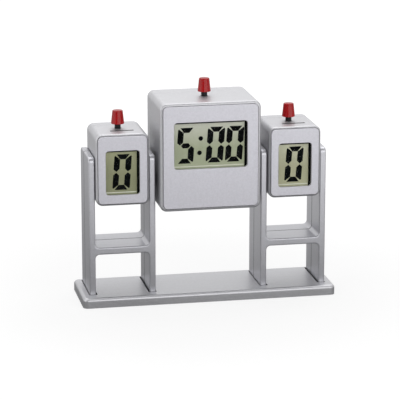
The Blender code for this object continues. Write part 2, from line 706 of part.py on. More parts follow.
def add_switch_cradle(build, shell, module):
    """Two ribs that hang from the top wall and carry a shelf for the switch."""
    inside = SWITCH_SIZE / 2 + CLEARANCE
    outside = inside + CRADLE_WALL
    front = module.button_y - COLLAR_DIAMETER / 2
    back = module.button_y + COLLAR_DIAMETER / 2
    shelf_top = module.switch_bottom - CLEARANCE
    shelf_bottom = shelf_top - CRADLE_WALL
    build.join(shell, box((module.middle - outside, front, shelf_bottom),
                          (module.middle + outside, back, shelf_top)))
    for low, high in ((-outside, -inside), (inside, outside)):
        build.join(shell, box((module.middle + low, front, shelf_top - CRADLE_WALL / 2),
                              (module.middle + high, back, module.room_top + EMBED)))


def add_side_pegs(build, shell, module):
    """Round pegs on both sides, clamped between the halves of the towers."""
    place = (TOWER_SEAM, module.peg_z)
    for wall, outward in ((module.left, -1), (module.right, 1)):
        start = wall - outward * EMBED
        face = wall + outward * module.side_gap
        build.join(shell, drum(place, PEG_DIAMETER, "X", *sorted((start, face + outward * PEG_REACH)),
                               steps=SMALL_ROUND_STEPS))
        if module.side_gap > 2 * CLEARANCE:
            collar_end = face - outward * CLEARANCE
            build.join(shell, drum(place, PEG_COLLAR_DIAMETER, "X", *sorted((start, collar_end))))


def add_card_slot(build, shell, module):
    """A narrow pocket under the top wall, in front of the button, for a team card."""
    left = module.middle + CARD_SLOT_ASIDE - CARD_SLOT_LENGTH / 2
    right = left + CARD_SLOT_LENGTH
    front = module.board_back + CARD_POCKET_BEHIND_BOARD + CARD_POCKET_WALL
    back = front + CARD_SLOT_WIDTH
    floor = module.room_top - CARD_SLOT_DEPTH
    wall = CARD_POCKET_WALL
    build.join(shell, box((left - wall, front - wall, floor - wall),
                          (right + wall, back + wall, module.room_top + EMBED)))
    build.cut(shell, box((left, front, floor), (right, back, module.top + PAST)))


def make_rear_shell(build, module, looks):
    shell_front = module.seam + CLEARANCE
    shell_mesh = slab(outline(module), shell_front, module.back)
    round_along(shell_mesh, "Y", HOUSING_CORNER)
    round_rim(shell_mesh, "Y", module.back, HOUSING_BACK_EDGE, CORNER_STEPS)
    shell = build.part(f"{module.name}_rear_shell", shell_mesh, looks["silver"])
    lip_outside = outline(module, LIP_REBATE - WALL - CLEARANCE)
    lip = slab(lip_outside, module.seam - LIP_DEPTH, shell_front + EMBED)
    build.join(shell, round_along(lip, "Y", HOUSING_CORNER - WALL + LIP_REBATE - CLEARANCE))
    room = slab(outline(module, -WALL), module.seam - PAST, module.back - WALL)
    build.cut(shell, round_along(room, "Y", HOUSING_CORNER - WALL))
    add_battery_pocket(build, shell, module)
    for x in post_places(module):
        place = (x, module.post_z)
        build.join(shell, drum(place, SCREW_POST_DIAMETER, "Y", module.boss_front,
                               module.back - WALL + EMBED, SMALL_ROUND_STEPS))
        build.cut(shell, drum(place, SCREW_HEAD_HOLE_DIAMETER, "Y", module.screw_seat,
                              module.back + PAST, SMALL_ROUND_STEPS))
        build.cut(shell, drum(place, SCREW_HOLE_DIAMETER, "Y", module.seam - PAST,
                              module.back + PAST, SHANK_STEPS))
    if module.is_clock:
        add_buzzer_seat(build, shell, module)


def square(module, size):
    """A rectangle of the given size round the middle of the battery pocket."""
    return (module.middle - size / 2, module.middle + size / 2,
            module.cell_z - size / 2, module.cell_z + size / 2)


def add_battery_pocket(build, shell, module):
    block = slab(square(module, POCKET_BLOCK_SIZE), module.pocket_floor - POCKET_FLOOR,
                 module.back - WALL + EMBED)
    build.join(shell, round_along(block, "Y", DOOR_CORNER, EDGE_STEPS))
    door_recess = slab(square(module, DOOR_SIZE + 2 * CLEARANCE), module.door_front - CLEARANCE,
                       module.back + PAST)
    build.cut(shell, round_along(door_recess, "Y", DOOR_CORNER + CLEARANCE))
    build.cut(shell, slab(square(module, POCKET_SIZE), module.pocket_floor, module.back + PAST))
    hole = grown(contact_tail(module), CLEARANCE)
    build.cut(shell, slab(hole, module.pocket_floor - POCKET_FLOOR - PAST,
                          module.pocket_floor + CLEARANCE))


def contact_tail(module):
    """Where the contact's solder tail leaves the pocket, as left, right, bottom, top."""
    right = module.middle + POCKET_SIZE / 2 - 2 * CLEARANCE
    half = CONTACT_WIDTH / 2
    return (right - 2 * CONTACT_THICKNESS, right, module.cell_z - half, module.cell_z + half)


def make_battery(build, module, looks):
    cell = drum((module.middle, module.cell_z), CELL_DIAMETER, "Y", module.cell_front, module.cell_back)
    round_rim(cell, "Y", module.cell_front, CONTACT_THICKNESS, 1)
    round_rim(cell, "Y", module.cell_back, CONTACT_THICKNESS, 1)
    build.part(f"{module.name}_battery", cell, looks["steel"])
    left, right, bottom, top = contact_tail(module)
    strip_left = 2 * module.middle - right
    strip = box((strip_left, module.contact_front, bottom),
                (right, module.contact_front + CONTACT_THICKNESS, top))
    contact = build.part(f"{module.name}_battery_contact", strip, looks["brass"])
    tail_front = module.pocket_floor - POCKET_FLOOR - CONTACT_TAIL
    build.join(contact, box((left, tail_front, bottom),
                            (right, module.contact_front + CONTACT_THICKNESS / 2, top)))


def make_battery_door(build, module, looks):
    """The door lies flush in the back and lifts straight off; four lugs centre it in the pocket."""
    door_mesh = slab(square(module, DOOR_SIZE), module.door_front, module.back)
    origin = (module.middle, module.back, module.cell_z)
    door = build.part(f"{module.name}_battery_door", round_along(door_mesh, "Y", DOOR_CORNER),
                      looks["silver"], origin)
    reach = POCKET_SIZE / 2 - CLEARANCE
    for side in (-1, 1):
        for level in (-1, 1):
            xs = sorted((module.middle + side * reach, module.middle + side * (reach - DOOR_LUG)))
            zs = sorted((module.cell_z + level * reach, module.cell_z + level * (reach - DOOR_LUG)))
            build.join(door, box((xs[0], module.door_front - DOOR_LUG, zs[0]),
                                 (xs[1], module.door_front + EMBED, zs[1])))
    grip_z = module.cell_z + DOOR_SIZE / 2 - 2 * DOOR_GRIP_HEIGHT
    grip = (module.middle - DOOR_GRIP_WIDTH / 2, module.middle + DOOR_GRIP_WIDTH / 2,
            grip_z - DOOR_GRIP_HEIGHT / 2, grip_z + DOOR_GRIP_HEIGHT / 2)
    grip_cut = slab(grip, module.back - DOOR_GRIP_DEPTH, module.back + PAST)
    build.cut(door, round_along(grip_cut, "Y", DOOR_GRIP_HEIGHT * SLOT_END_ROUND))


def buzzer_middle(module):
    ring = BUZZER_DIAMETER / 2 + CLEARANCE + BUZZER_RING_WALL
    return module.cell_z + POCKET_BLOCK_SIZE / 2 + BUZZER_OVER_POCKET + ring


def add_buzzer_seat(build, shell, module):
    """A ring on the inside of the back for the buzzer, with sound slots through the wall."""
    place = (module.middle, buzzer_middle(module))
    hole = BUZZER_DIAMETER + 2 * CLEARANCE
    inner_face = module.back - WALL
    build.join(shell, drum(place, hole + 2 * BUZZER_RING_WALL, "Y",
                           inner_face - BUZZER_THICKNESS - CLEARANCE, inner_face + EMBED))
    build.cut(shell, drum(place, hole, "Y", inner_face - PAST, inner_face + CLEARANCE))
    for step in (-1, 0, 1):
        z = place[1] + step * SOUND_SLOT_PITCH
        slot = (module.middle - SOUND_SLOT_LENGTH / 2, module.middle + SOUND_SLOT_LENGTH / 2,
                z - SOUND_SLOT_WIDTH / 2, z + SOUND_SLOT_WIDTH / 2)
        build.cut(shell, slab(slot, inner_face - PAST, module.back + PAST))


def make_buzzer(build, module, looks):
    back = module.back - WALL
    place = (module.middle, buzzer_middle(module))
    disc = drum(place, BUZZER_DIAMETER, "Y", back - BUZZER_THICKNESS, back)
    build.part(f"{module.name}_buzzer", disc, looks["brass"])


def make_face(build, module, looks):
    """Face plate, lens and display, one behind the other, and the board behind them."""
    plate_mesh = slab(module.plate, module.plate_front, module.plate_back)
    round_along(plate_mesh, "Y", PLATE_CORNER)
    round_rim(plate_mesh, "Y", module.plate_front, PLATE_EDGE)
    plate = build.part(f"{module.name}_face_plate", plate_mesh, looks["face"])
    window = slab(module.window, module.plate_front - PAST, module.plate_back + PAST)
    build.cut(plate, round_along(window, "Y", WINDOW_CORNER))
    build.part(f"{module.name}_lens", slab(module.display, module.lens_front, module.lens_back),
               looks["clear"])
    build.part(f"{module.name}_lcd", slab(module.display, module.lcd_front, module.lcd_back),
               looks["display"])
    board_left = module.left + WALL + CLEARANCE
    board_right = module.right - WALL - CLEARANCE
    board = (board_left, board_right, module.display[2] - BOARD_OVER_DISPLAY,
             module.display[3] + BOARD_OVER_DISPLAY)
    build.part(f"{module.name}_circuit_board", slab(board, module.board_front, module.board_back),
               looks["board"])


def make_connector_strip(build, module, looks):
    left, right, bottom, top = module.display
    foot = bottom + CLEARANCE
    strip = (left + DISPLAY_LAP, right - DISPLAY_LAP, foot, foot + STRIP_HEIGHT)
    strip_mesh = slab(strip, module.lcd_back + CLEARANCE, module.board_front - CLEARANCE)
    build.part(f"{module.name}_connector_strip", strip_mesh, looks["rubber"])


def make_case_screws(build, module, looks):
    seat = module.screw_seat + CLEARANCE
    tip_length = seat - module.post_end + SCREW_BITE
    places = post_places(module)
    names = ("left", "right") if len(places) == 2 else ("right",)
    for name, x in zip(names, places):
        place = (x, module.post_z)
        screw(build, f"{module.name}_case_screw_{name}", seat, tip_length, place, -1, "Y", looks)


# Push buttons

def make_button(build, module, looks):
    axis = (module.middle, module.button_y)
    bottom = module.cap_bottom
    top = bottom + CAP_HEIGHT
    bore = STEM_DIAMETER / 2 + CLEARANCE
    cap_profile = [
        (0.0, top),
        (CAP_TOP_DIAMETER / 4, top - CAP_DOME / 4),
        (CAP_TOP_DIAMETER / 2 - CAP_EDGE, top - CAP_DOME),
        (CAP_TOP_DIAMETER / 2, top - CAP_DOME - CAP_EDGE),
        (CAP_BOTTOM_DIAMETER / 2, bottom + CAP_EDGE),
        (CAP_BOTTOM_DIAMETER / 2 - CAP_EDGE, bottom),
        (bore, bottom),
        (bore, bottom + CAP_BORE_DEPTH),
        (0.0, bottom + CAP_BORE_DEPTH),
    ]
    build.turned(f"{module.name}_button_cap", cap_profile, axis, looks["red"])

    stem_top = bottom + CAP_BORE_DEPTH - CLEARANCE
    stem_profile = [
        (0.0, stem_top),
        (STEM_DIAMETER / 2, stem_top),
        (STEM_DIAMETER / 2, module.collar_top),
        (COLLAR_DIAMETER / 2, module.collar_top),
        (COLLAR_DIAMETER / 2, module.collar_bottom),
        (STEM_DIAMETER / 2, module.collar_bottom),
        (STEM_DIAMETER / 2, module.stem_bottom),
        (0.0, module.stem_bottom),
    ]
    build.turned(f"{module.name}_button_stem", stem_profile, axis, looks["black"])
    make_spring(build, module, looks)
    make_switch(build, module, looks)


def make_spring(build, module, looks):
    """A coil spring between the switch and the stem's collar."""
    low = module.switch_top + CLEARANCE + SPRING_WIRE / 2
    high = module.collar_bottom - CLEARANCE - SPRING_WIRE / 2
    radius = (COLLAR_DIAMETER - SPRING_WIRE) / 2
    count = int(SPRING_STEPS * SPRING_TURNS) + 1
    curve = bpy.data.curves.new(f"{module.name}_button_spring", "CURVE")
    curve.dimensions = "3D"
    curve.bevel_depth = SPRING_WIRE / 2
    curve.bevel_resolution = SPRING_WIRE_STEPS
    curve.use_fill_caps = True
    spline = curve.splines.new("POLY")
    spline.points.add(count - 1)
    for index, point in enumerate(spline.points):
        share = index / (count - 1)
        angle = 2 * math.pi * SPRING_TURNS * share
        point.co = (radius * math.cos(angle), radius * math.sin(angle), (high - low) * share, 1.0)
    curve.materials.append(looks["steel"])
    spring = bpy.data.objects.new(curve.name, curve)
    spring.location = (module.middle, module.button_y, low)
    build.parts.objects.link(spring)


def make_switch(build, module, looks):
    half = SWITCH_SIZE / 2
    body = box((module.middle - half, module.button_y - half, module.switch_bottom),
               (module.middle + half, module.button_y + half, module.switch_top))
    switch = build.part(f"{module.name}_switch", body, looks["black"])
    build.join(switch, drum((module.middle, module.button_y), PLUNGER_DIAMETER, "Z",
                            module.switch_top - EMBED, module.plunger_top, SMALL_ROUND_STEPS))


def make_module(build, module, looks):
    make_face(build, module, looks)
    make_front_shell(build, module, looks)
    make_rear_shell(build, module, looks)
    make_case_screws(build, module, looks)
    make_button(build, module, looks)
    make_battery(build, module, looks)
    make_battery_door(build, module, looks)
    if module.is_clock:
        make_buzzer(build, module, looks)
        make_connector_strip(build, module, looks)


def clock_module():
    return Module(
        name="clock", is_clock=True, middle=0.0, width=CLOCK_WIDTH,
        bottom=COUNTER_BOTTOM - CLOCK_DROP, height=CLOCK_HEIGHT,
        front_proud=CLOCK_FRONT_PROUD, back_proud=CLOCK_BACK_PROUD, rear_depth=CLOCK_REAR_DEPTH,
        plate_margin=CLOCK_PLATE_MARGIN, window_side=CLOCK_WINDOW_SIDE,
        window_above=CLOCK_WINDOW_ABOVE, window_below=CLOCK_WINDOW_BELOW,
        button_ahead=CLOCK_BUTTON_AHEAD, peg_rise=CLOCK_PEG_RISE, side_gap=CLOCK_SIDE_GAP)


def counter_module(side, sign):
    return Module(
        name=f"{side}_counter", is_clock=False, middle=sign * TOWER_MIDDLE, width=COUNTER_WIDTH,
        bottom=COUNTER_BOTTOM, height=COUNTER_HEIGHT,
        front_proud=COUNTER_FRONT_PROUD, back_proud=COUNTER_BACK_PROUD, rear_depth=COUNTER_REAR_DEPTH,
        plate_margin=COUNTER_PLATE_MARGIN, window_side=COUNTER_WINDOW_SIDE,
        window_above=COUNTER_WINDOW_ABOVE, window_below=COUNTER_WINDOW_BELOW,
        button_ahead=COUNTER_BUTTON_AHEAD, peg_rise=COUNTER_PEG_RISE, side_gap=CLEARANCE)


def shade(collection):
    """Smooth the round faces and keep the edges between flat ones sharp."""
    for obj in collection.objects:
        if obj.type == "MESH" and obj.data.polygons:
            obj.data.shade_smooth()
            obj.data.set_sharp_from_angle(angle=SMOOTH_ANGLE)


def main():
    clear_scene()
    build = Builder()
    looks = {
        "silver": silver_plastic(), "face": face_silver(), "red": red_plastic(),
        "black": black_plastic(), "clear": clear_plastic(), "display": display_glass(),
        "board": board_green(), "steel": steel(), "brass": brass(), "rubber": grey_rubber(),
    }
    clock = clock_module()
    left_counter = counter_module("left", -1)
    right_counter = counter_module("right", 1)
    make_base(build, looks)
    make_tower(build, "left", -1, (clock, left_counter), looks)
    make_tower(build, "right", 1, (clock, right_counter), looks)
    for module in (clock, left_counter, right_counter):
        make_module(build, module, looks)
    shade(build.parts)


main()
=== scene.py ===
# %% [markdown]
# # A scoreboard timer for a table game
# Two open towers rise from a flat base, each with a small goal counter between its uprights, and a
# countdown clock hangs between the towers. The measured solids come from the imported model, the frame.
# This file models finer pieces where they are plain, and adds materials, the camera and the light.

# %% Load the measured model
import math

import bmesh
import bpy
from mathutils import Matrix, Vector


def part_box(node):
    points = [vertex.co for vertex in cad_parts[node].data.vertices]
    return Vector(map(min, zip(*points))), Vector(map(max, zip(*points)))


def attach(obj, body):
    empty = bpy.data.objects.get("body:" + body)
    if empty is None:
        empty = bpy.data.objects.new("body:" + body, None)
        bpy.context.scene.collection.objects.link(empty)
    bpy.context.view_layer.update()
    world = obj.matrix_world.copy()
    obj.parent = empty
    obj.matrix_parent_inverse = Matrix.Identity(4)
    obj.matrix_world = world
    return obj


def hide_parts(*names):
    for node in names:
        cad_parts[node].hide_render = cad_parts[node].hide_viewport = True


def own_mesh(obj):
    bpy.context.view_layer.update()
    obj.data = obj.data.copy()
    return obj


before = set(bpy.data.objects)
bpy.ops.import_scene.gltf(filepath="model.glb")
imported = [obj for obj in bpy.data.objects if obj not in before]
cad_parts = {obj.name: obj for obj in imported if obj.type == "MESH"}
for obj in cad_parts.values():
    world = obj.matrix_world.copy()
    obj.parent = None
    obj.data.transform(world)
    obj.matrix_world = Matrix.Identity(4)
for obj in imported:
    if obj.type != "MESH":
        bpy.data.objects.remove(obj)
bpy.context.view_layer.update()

MM = 0.001

# %% [markdown]
# ## The camera
# The photograph was taken from a little to the left and a little above. The angles and the distance
# were fitted to the object's straight edges. A long lens far away keeps the perspective as weak as it
# is in the photograph, which a wide lens close by could not do.

# %% Place the camera
VIEW_LEFT = math.radians(11.20)
VIEW_DOWN = math.radians(14.42)
VIEW_DISTANCE = 1.305
VIEW_TARGET = Vector((-0.0020, 0.0003, 0.0563))
LENS = 198.63
SENSOR = 36.0


def add_aimed(name, data, place, direction):
    """Adds a camera or a lamp at a place, turned in a direction."""
    thing = bpy.data.objects.new(name, data)
    bpy.context.scene.collection.objects.link(thing)
    thing.location = place
    thing.rotation_euler = direction.to_track_quat("-Z", "Y").to_euler()
    return thing


level = math.cos(VIEW_DOWN)
away = Vector((-math.sin(VIEW_LEFT) * level, -math.cos(VIEW_LEFT) * level, math.sin(VIEW_DOWN)))
optics = bpy.data.cameras.new("camera")
optics.lens = LENS
optics.sensor_width = SENSOR
camera = add_aimed("camera", optics, VIEW_TARGET + away * VIEW_DISTANCE, -away)
bpy.context.scene.camera = camera
print("camera at", [round(value, 3) for value in camera.location])

# %% [markdown]
# ## Node helpers
# Every finish below is made of shader nodes. Helpers that add a node and set its values keep each
# material to a few lines. An effect that several finishes share is built once, as a node group.

# %% Helpers for nodes and groups
GREY = (0.5, 0.5, 0.5, 1.0)
ORIGIN = (0.0, 0.0, 0.0)
BUMP_HEIGHT = 0.05 * MM


def set_inputs(node, inputs):
    """Sets or links inputs; they hold a value or another node's socket for each name or number."""
    for name, value in inputs.items():
        if isinstance(value, bpy.types.NodeSocket):
            node.id_data.links.new(value, node.inputs[name])
        else:
            node.inputs[name].default_value = value


def add_node(tree, kind, inputs=None, **settings):
    node = tree.nodes.new("ShaderNode" + kind)
    for name, value in settings.items():
        setattr(node, name, value)
    set_inputs(node, inputs or {})
    return node


def calc(operation, first, second):
    return add_node(first.id_data, "Math", {0: first, 1: second}, operation=operation).outputs[0]


def ranged(value, low, high, to_low=0.0, to_high=1.0):
    """Maps a value from one range to another, and holds it inside that one."""
    return add_node(value.id_data, "MapRange", {"Value": value, "From Min": low, "From Max": high,
                                                "To Min": to_low, "To Max": to_high}).outputs[0]


def noise(place, scale, detail, roughness=0.5):
    return add_node(place.id_data, "TexNoise", {"Vector": place, "Scale": scale, "Detail": detail,
                                                "Roughness": roughness}).outputs[0]


def swing(value, amount):
    """How far a noise is from its middle, times an amount."""
    return calc("MULTIPLY", calc("SUBTRACT", value, 0.5), amount)


def shaded(colour, level):
    """A colour times a level."""
    return add_node(colour.id_data, "VectorMath", {0: colour, "Scale": level}, operation="SCALE").outputs[0]


def bump(height, strength):
    return add_node(height.id_data, "Bump", {"Height": height, "Strength": strength,
                                             "Distance": BUMP_HEIGHT}).outputs[0]


def new_group(name, inputs, outputs):
    """Starts a node group; the value that each socket is given here sets its type."""
    tree = bpy.data.node_groups.new(name, "ShaderNodeTree")
    for way, sockets in (("INPUT", inputs), ("OUTPUT", outputs)):
        for label, value in sockets.items():
            kind = "Float" if isinstance(value, float) else {3: "Vector", 4: "Color"}[len(value)]
            socket = tree.interface.new_socket(name=label, in_out=way, socket_type="NodeSocket" + kind)
            socket.default_value = value
    return tree, tree.nodes.new("NodeGroupInput").outputs, tree.nodes.new("NodeGroupOutput")


def add_group(group, place, inputs):
    return add_node(place.id_data, "Group", {"Vector": place, **inputs}, node_tree=group).outputs


print("node helpers ready")

# %% [markdown]
# ## Grain of a sprayed finish
# Silver paint holds metal flakes. Close up it has a fine grain of lighter and darker specks, and wide,
# faint clouds where the coat is thicker. Noise at two sizes gives both, and also drives the roughness
# and a very low relief, so that highlights break up.

# %% Group: sprayed grain


def build_grain_group():
    tree, given, result = new_group(
        "sprayed grain",
        {"Vector": ORIGIN, "Colour": GREY, "Grain Scale": 2600.0, "Grain Amount": 0.10,
         "Cloud Scale": 28.0, "Cloud Amount": 0.05, "Roughness": 0.4, "Roughness Spread": 0.10},
        {"Colour": GREY, "Roughness": 0.0, "Height": 0.0})
    fine = noise(given["Vector"], given["Grain Scale"], 2.0, 0.7)
    cloud = noise(given["Vector"], given["Cloud Scale"], 3.0)
    both = calc("ADD", swing(fine, given["Grain Amount"]), swing(cloud, given["Cloud Amount"]))
    spread = swing(cloud, given["Roughness Spread"])
    set_inputs(result, {"Colour": shaded(given["Colour"], calc("ADD", both, 1.0)),
                        "Roughness": calc("ADD", given["Roughness"], spread), "Height": fine})
    return tree


GRAIN = build_grain_group()
print("group:", GRAIN.name)

# %% [markdown]
# ## Streaks from moulding
# Long flat parts show faint streaks where the melt flowed or a cloth wiped them. Noise that is
# stretched a great deal along one axis gives them.

# %% Group: streaks


def build_streak_group():
    tree, given, result = new_group(
        "fine streaks",
        {"Vector": ORIGIN, "Colour": GREY, "Stretch": (12.0, 500.0, 500.0), "Amount": 0.08},
        {"Colour": GREY})
    stretched = add_node(tree, "VectorMath", {0: given["Vector"], 1: given["Stretch"]},
                         operation="MULTIPLY").outputs[0]
    level = calc("ADD", swing(noise(stretched, 1.0, 3.0, 0.6), given["Amount"]), 1.0)
    set_inputs(result, {"Colour": shaded(given["Colour"], level)})
    return tree


STREAKS = build_streak_group()
print("group:", STREAKS.name)

# %% [markdown]
# ## The finishes
# Each finish is one Principled shader, whose colour, roughness and relief come from the groups. Silver
# paint is part plastic and part metal: a middle Metallic value keeps it grey from every side and still
# lets edges catch the light.

# %% A finish from the shared groups


def new_finish(name):
    material = bpy.data.materials.new(name)
    material.use_nodes = True
    tree = material.node_tree
    return material, tree, tree.nodes["Principled BSDF"], add_node(tree, "TexCoord").outputs["Object"]


def grained(name, colour, roughness, metallic=0.0, grain=(2600.0, 0.10), cloud=(28.0, 0.05), relief=0.02,
            streaks=None, spread=0.10, specular=0.5):
    """A finish with sprayed grain, and with streaks where their stretch and amount are given."""
    material, tree, shader, place = new_finish(name)
    coat = add_group(GRAIN, place, {"Colour": (*colour, 1.0), "Grain Scale": grain[0],
                                    "Grain Amount": grain[1], "Cloud Scale": cloud[0],
                                    "Cloud Amount": cloud[1], "Roughness": roughness,
                                    "Roughness Spread": spread})
    tint = coat["Colour"]
    if streaks:
        tint = add_group(STREAKS, place, {"Colour": tint, "Stretch": streaks[0],
                                          "Amount": streaks[1]})["Colour"]
    set_inputs(shader, {"Base Color": tint, "Roughness": coat["Roughness"],
                        "Normal": bump(coat["Height"], relief), "Metallic": metallic,
                        "Specular IOR Level": specular})
    return material


ALONG_X = (12.0, 700.0, 700.0)
ALONG_Z = (700.0, 700.0, 12.0)
HOUSING_SILVER = grained("housing silver", (0.51, 0.51, 0.53), 0.42, 0.70, grain=(900.0, 0.24), relief=0.25)
FACE_SILVER = grained("face silver", (0.57, 0.565, 0.61), 0.42, 0.45, grain=(900.0, 0.26), relief=0.2)
TOWER_SILVER = grained("tower silver", (0.49, 0.49, 0.52), 0.32, 0.70, grain=(900.0, 0.20), relief=0.2,
                       streaks=(ALONG_X, 0.08))
BASE_SILVER = grained("base silver", (0.49, 0.49, 0.51), 0.36, 0.70, grain=(900.0, 0.20), relief=0.2,
                      streaks=(ALONG_X, 0.08))
print("silver finishes:", [item.name for item in (HOUSING_SILVER, FACE_SILVER, TOWER_SILVER, BASE_SILVER)])

# %% [markdown]
# The buttons are glossy red caps on black stems. Polished plastic still has slight waves, so the red
# gets soft clouds in its roughness and hardly any grain.

# %% Plastics, rubber and metals
BUTTON_RED = grained("glossy red", (0.38, 0.001, 0.003), 0.12, grain=(900.0, 0.04), cloud=(160.0, 0.10),
                     spread=0.06, specular=0.3)
STEM_BLACK = grained("stem black", (0.012, 0.012, 0.013), 0.30, grain=(1500.0, 0.2), relief=0.05,
                     specular=0.2)
COVER_BLACK = grained("cover black", (0.020, 0.020, 0.021), 0.55, grain=(1800.0, 0.4), relief=0.6)
PAD_RUBBER = grained("pad rubber", (0.050, 0.050, 0.053), 0.80, grain=(2200.0, 0.4), relief=0.8)
SCREW_STEEL = grained("screw steel", (0.56, 0.57, 0.58), 0.28, 1.0, grain=(3000.0, 0.15), relief=0.1)
CONTACT_BRASS = grained("contact brass", (0.72, 0.50, 0.18), 0.34, 1.0, grain=(2400.0, 0.15),
                        relief=0.1, streaks=(ALONG_Z, 0.10))
CELL_STEEL = grained("cell steel", (0.62, 0.62, 0.62), 0.25, 1.0, grain=(2600.0, 0.08), relief=0.05)
# Black for the digits' print, and for the painted shadow strips beside them on the displays.
SEGMENT_AND_SHADOW_BLACK = grained("segment and painted shadow black", (0.002, 0.003, 0.003), 0.6, grain=(1500.0, 0.3), specular=0.05)
# Dark for the towers' seam faces, a dark joint, and painted shade in grooves, slots, holes and hollows.
JOINT_AND_SHADE_DARK = grained("dark joint and painted shade", (0.030, 0.030, 0.032), 0.50, grain=(1500.0, 0.3), relief=0.3)
# A pale strip above each window's lower edge: a painted highlight where the lower rim catches light.
PAINTED_RIM_HIGHLIGHT = grained("painted rim highlight", (0.74, 0.76, 0.62), 0.40, grain=(1500.0, 0.2), relief=0.05)
print("other finishes ready")

# %% [markdown]
# A circuit board is green lacquer over copper tracks. A brick pattern gives straight tracks, so that
# the board reads as a board through a gap or with a cover off.

# %% Circuit board


def board_finish():
    material, tree, shader, place = new_finish("board green")
    turned = add_node(tree, "Mapping", {"Vector": place, "Rotation": (math.pi / 2, 0.0, 0.0)})
    tracks = add_node(tree, "TexBrick",
                      {"Vector": turned.outputs[0], "Color1": (0.012, 0.13, 0.045, 1.0),
                       "Color2": (0.014, 0.16, 0.055, 1.0), "Mortar": (0.04, 0.26, 0.09, 1.0),
                       "Scale": 400.0, "Mortar Size": 0.06}).outputs
    set_inputs(shader, {"Base Color": tracks["Color"], "Normal": bump(tracks["Fac"], 0.3), "Roughness": 0.35})
    return material


BOARD_GREEN = board_finish()
print("finish:", BOARD_GREEN.name)

# %% [markdown]
# ## Window and display glass
# The window is a clear sheet in front of the display. A glass shader alone would throw a dark shadow
# on the display, because bent light takes many bounces to find. A transparent shader for shadow rays
# and for bounced light lets it through, as a thin sheet does. The sheet bends light only a little, like
# one with a coating against glare, so it hardly mirrors the white room and the digits stay black.

# %% Clear window
WINDOW_IOR = 1.07
WINDOW_COLOUR = (0.99, 0.99, 0.99, 1.0)


def window_finish():
    material, tree, shader, place = new_finish("clear window")
    set_inputs(shader, {"Roughness": ranged(noise(place, 90.0, 2.0), 0.0, 1.0, 0.02, 0.06),
                        "Base Color": WINDOW_COLOUR, "Transmission Weight": 1.0, "IOR": WINDOW_IOR})
    clear = add_node(tree, "BsdfTransparent", {"Color": WINDOW_COLOUR})
    rays = add_node(tree, "LightPath").outputs
    bounced = calc("MAXIMUM", rays["Is Diffuse Ray"], rays["Is Glossy Ray"])
    bounced = calc("MAXIMUM", bounced, rays["Is Shadow Ray"])
    blend = add_node(tree, "MixShader", {0: bounced, 1: shader.outputs[0], 2: clear.outputs[0]})
    set_inputs(tree.nodes["Material Output"], {"Surface": blend.outputs[0]})
    return material


CLEAR_WINDOW = window_finish()
print("finish:", CLEAR_WINDOW.name)

# %% [markdown]
# Behind it, a liquid crystal display is grey-green and slightly uneven. Its colour is painted lighter towards
# the top, a painted reflection. The three displays are the same kind, but each has its own level of
# grey-green, painted light and shade, darkest on the left counter.

# %% Display glass


def display_finish(name, bottom, top, low_colour, high_colour):
    material, tree, shader, place = new_finish(name)
    height = add_node(tree, "SeparateXYZ", {"Vector": place}).outputs["Z"]
    # The colour ramp paints the display lighter towards the top: a painted reflection.
    painted_reflection_ramp = add_node(tree, "ValToRGB", {"Fac": ranged(height, bottom * MM, top * MM)})
    start, end = painted_reflection_ramp.color_ramp.elements
    start.color = (*low_colour, 1.0)
    start.position = 0.45
    end.color = (*high_colour, 1.0)
    coat = add_group(GRAIN, place, {"Colour": painted_reflection_ramp.outputs[0], "Grain Scale": 1600.0, "Grain Amount": 0.05,
                                    "Cloud Scale": 120.0, "Cloud Amount": 0.10, "Roughness": 0.32})
    set_inputs(shader, {"Base Color": coat["Colour"], "Roughness": coat["Roughness"],
                        "Specular IOR Level": 0.15})
    return material


CLOCK_RISE = (80.85, 108.35)
COUNTER_RISE = (66.45, 92.55)
# Each display's own lower and upper colour: painted light and shade, darkest on the left counter.
DISPLAYS = {
    "clock": display_finish("clock display", *CLOCK_RISE, (0.445, 0.485, 0.332), (0.72, 0.735, 0.63)),
    "left_counter": display_finish("left display", *COUNTER_RISE, (0.325, 0.337, 0.203),
                                   (0.455, 0.466, 0.288)),
    "right_counter": display_finish("right display", *COUNTER_RISE, (0.500, 0.500, 0.332),
                                    (0.68, 0.69, 0.52)),
}
print("finishes:", [finish.name for finish in DISPLAYS.values()])

# %% [markdown]
# ## Modelling helpers
# Pieces are modelled as by hand: a primitive at its size and place, edges bevelled, faces inset and
# extruded, and other shapes cut away. Lengths are in millimetres. An operator acts on whatever is
# selected, so each piece starts with nothing selected.

# %% Start a piece


def start_piece():
    if bpy.context.object and bpy.context.object.mode != "OBJECT":
        bpy.ops.object.mode_set(mode="OBJECT")
    bpy.ops.object.select_all(action="DESELECT")


def make_active(piece):
    start_piece()
    piece.select_set(True)
    bpy.context.view_layer.objects.active = piece


def named(name):
    """Names the new primitive and puts its size and place into its mesh."""
    piece = bpy.context.object
    piece.name = name
    piece.data.name = name
    bpy.ops.object.transform_apply(location=True, rotation=True, scale=True)
    return piece


def add_block(name, corner, opposite):
    """A block between two opposite corners."""
    start_piece()
    corner, opposite = Vector(corner), Vector(opposite)
    bpy.ops.mesh.primitive_cube_add(size=1.0, location=(corner + opposite) / 2 * MM)
    bpy.context.object.scale = Vector(map(abs, opposite - corner)) * MM
    return named(name)


TURNS = {"X": (0.0, math.pi / 2, 0.0), "Y": (math.pi / 2, 0.0, 0.0), "Z": ORIGIN}


def add_drum(name, centre, axis, radius, start, end, sides=48, end_radius=None):
    """A cylinder, or a cone where end_radius is given, along an axis; centre is its other two places."""
    start_piece()
    place = list(centre)
    place.insert("XYZ".index(axis), (start + end) / 2)
    bpy.ops.mesh.primitive_cone_add(vertices=sides, radius1=radius * MM, depth=abs(end - start) * MM,
                                    radius2=(radius if end_radius is None else end_radius) * MM,
                                    location=Vector(place) * MM, rotation=TURNS[axis])
    return named(name)


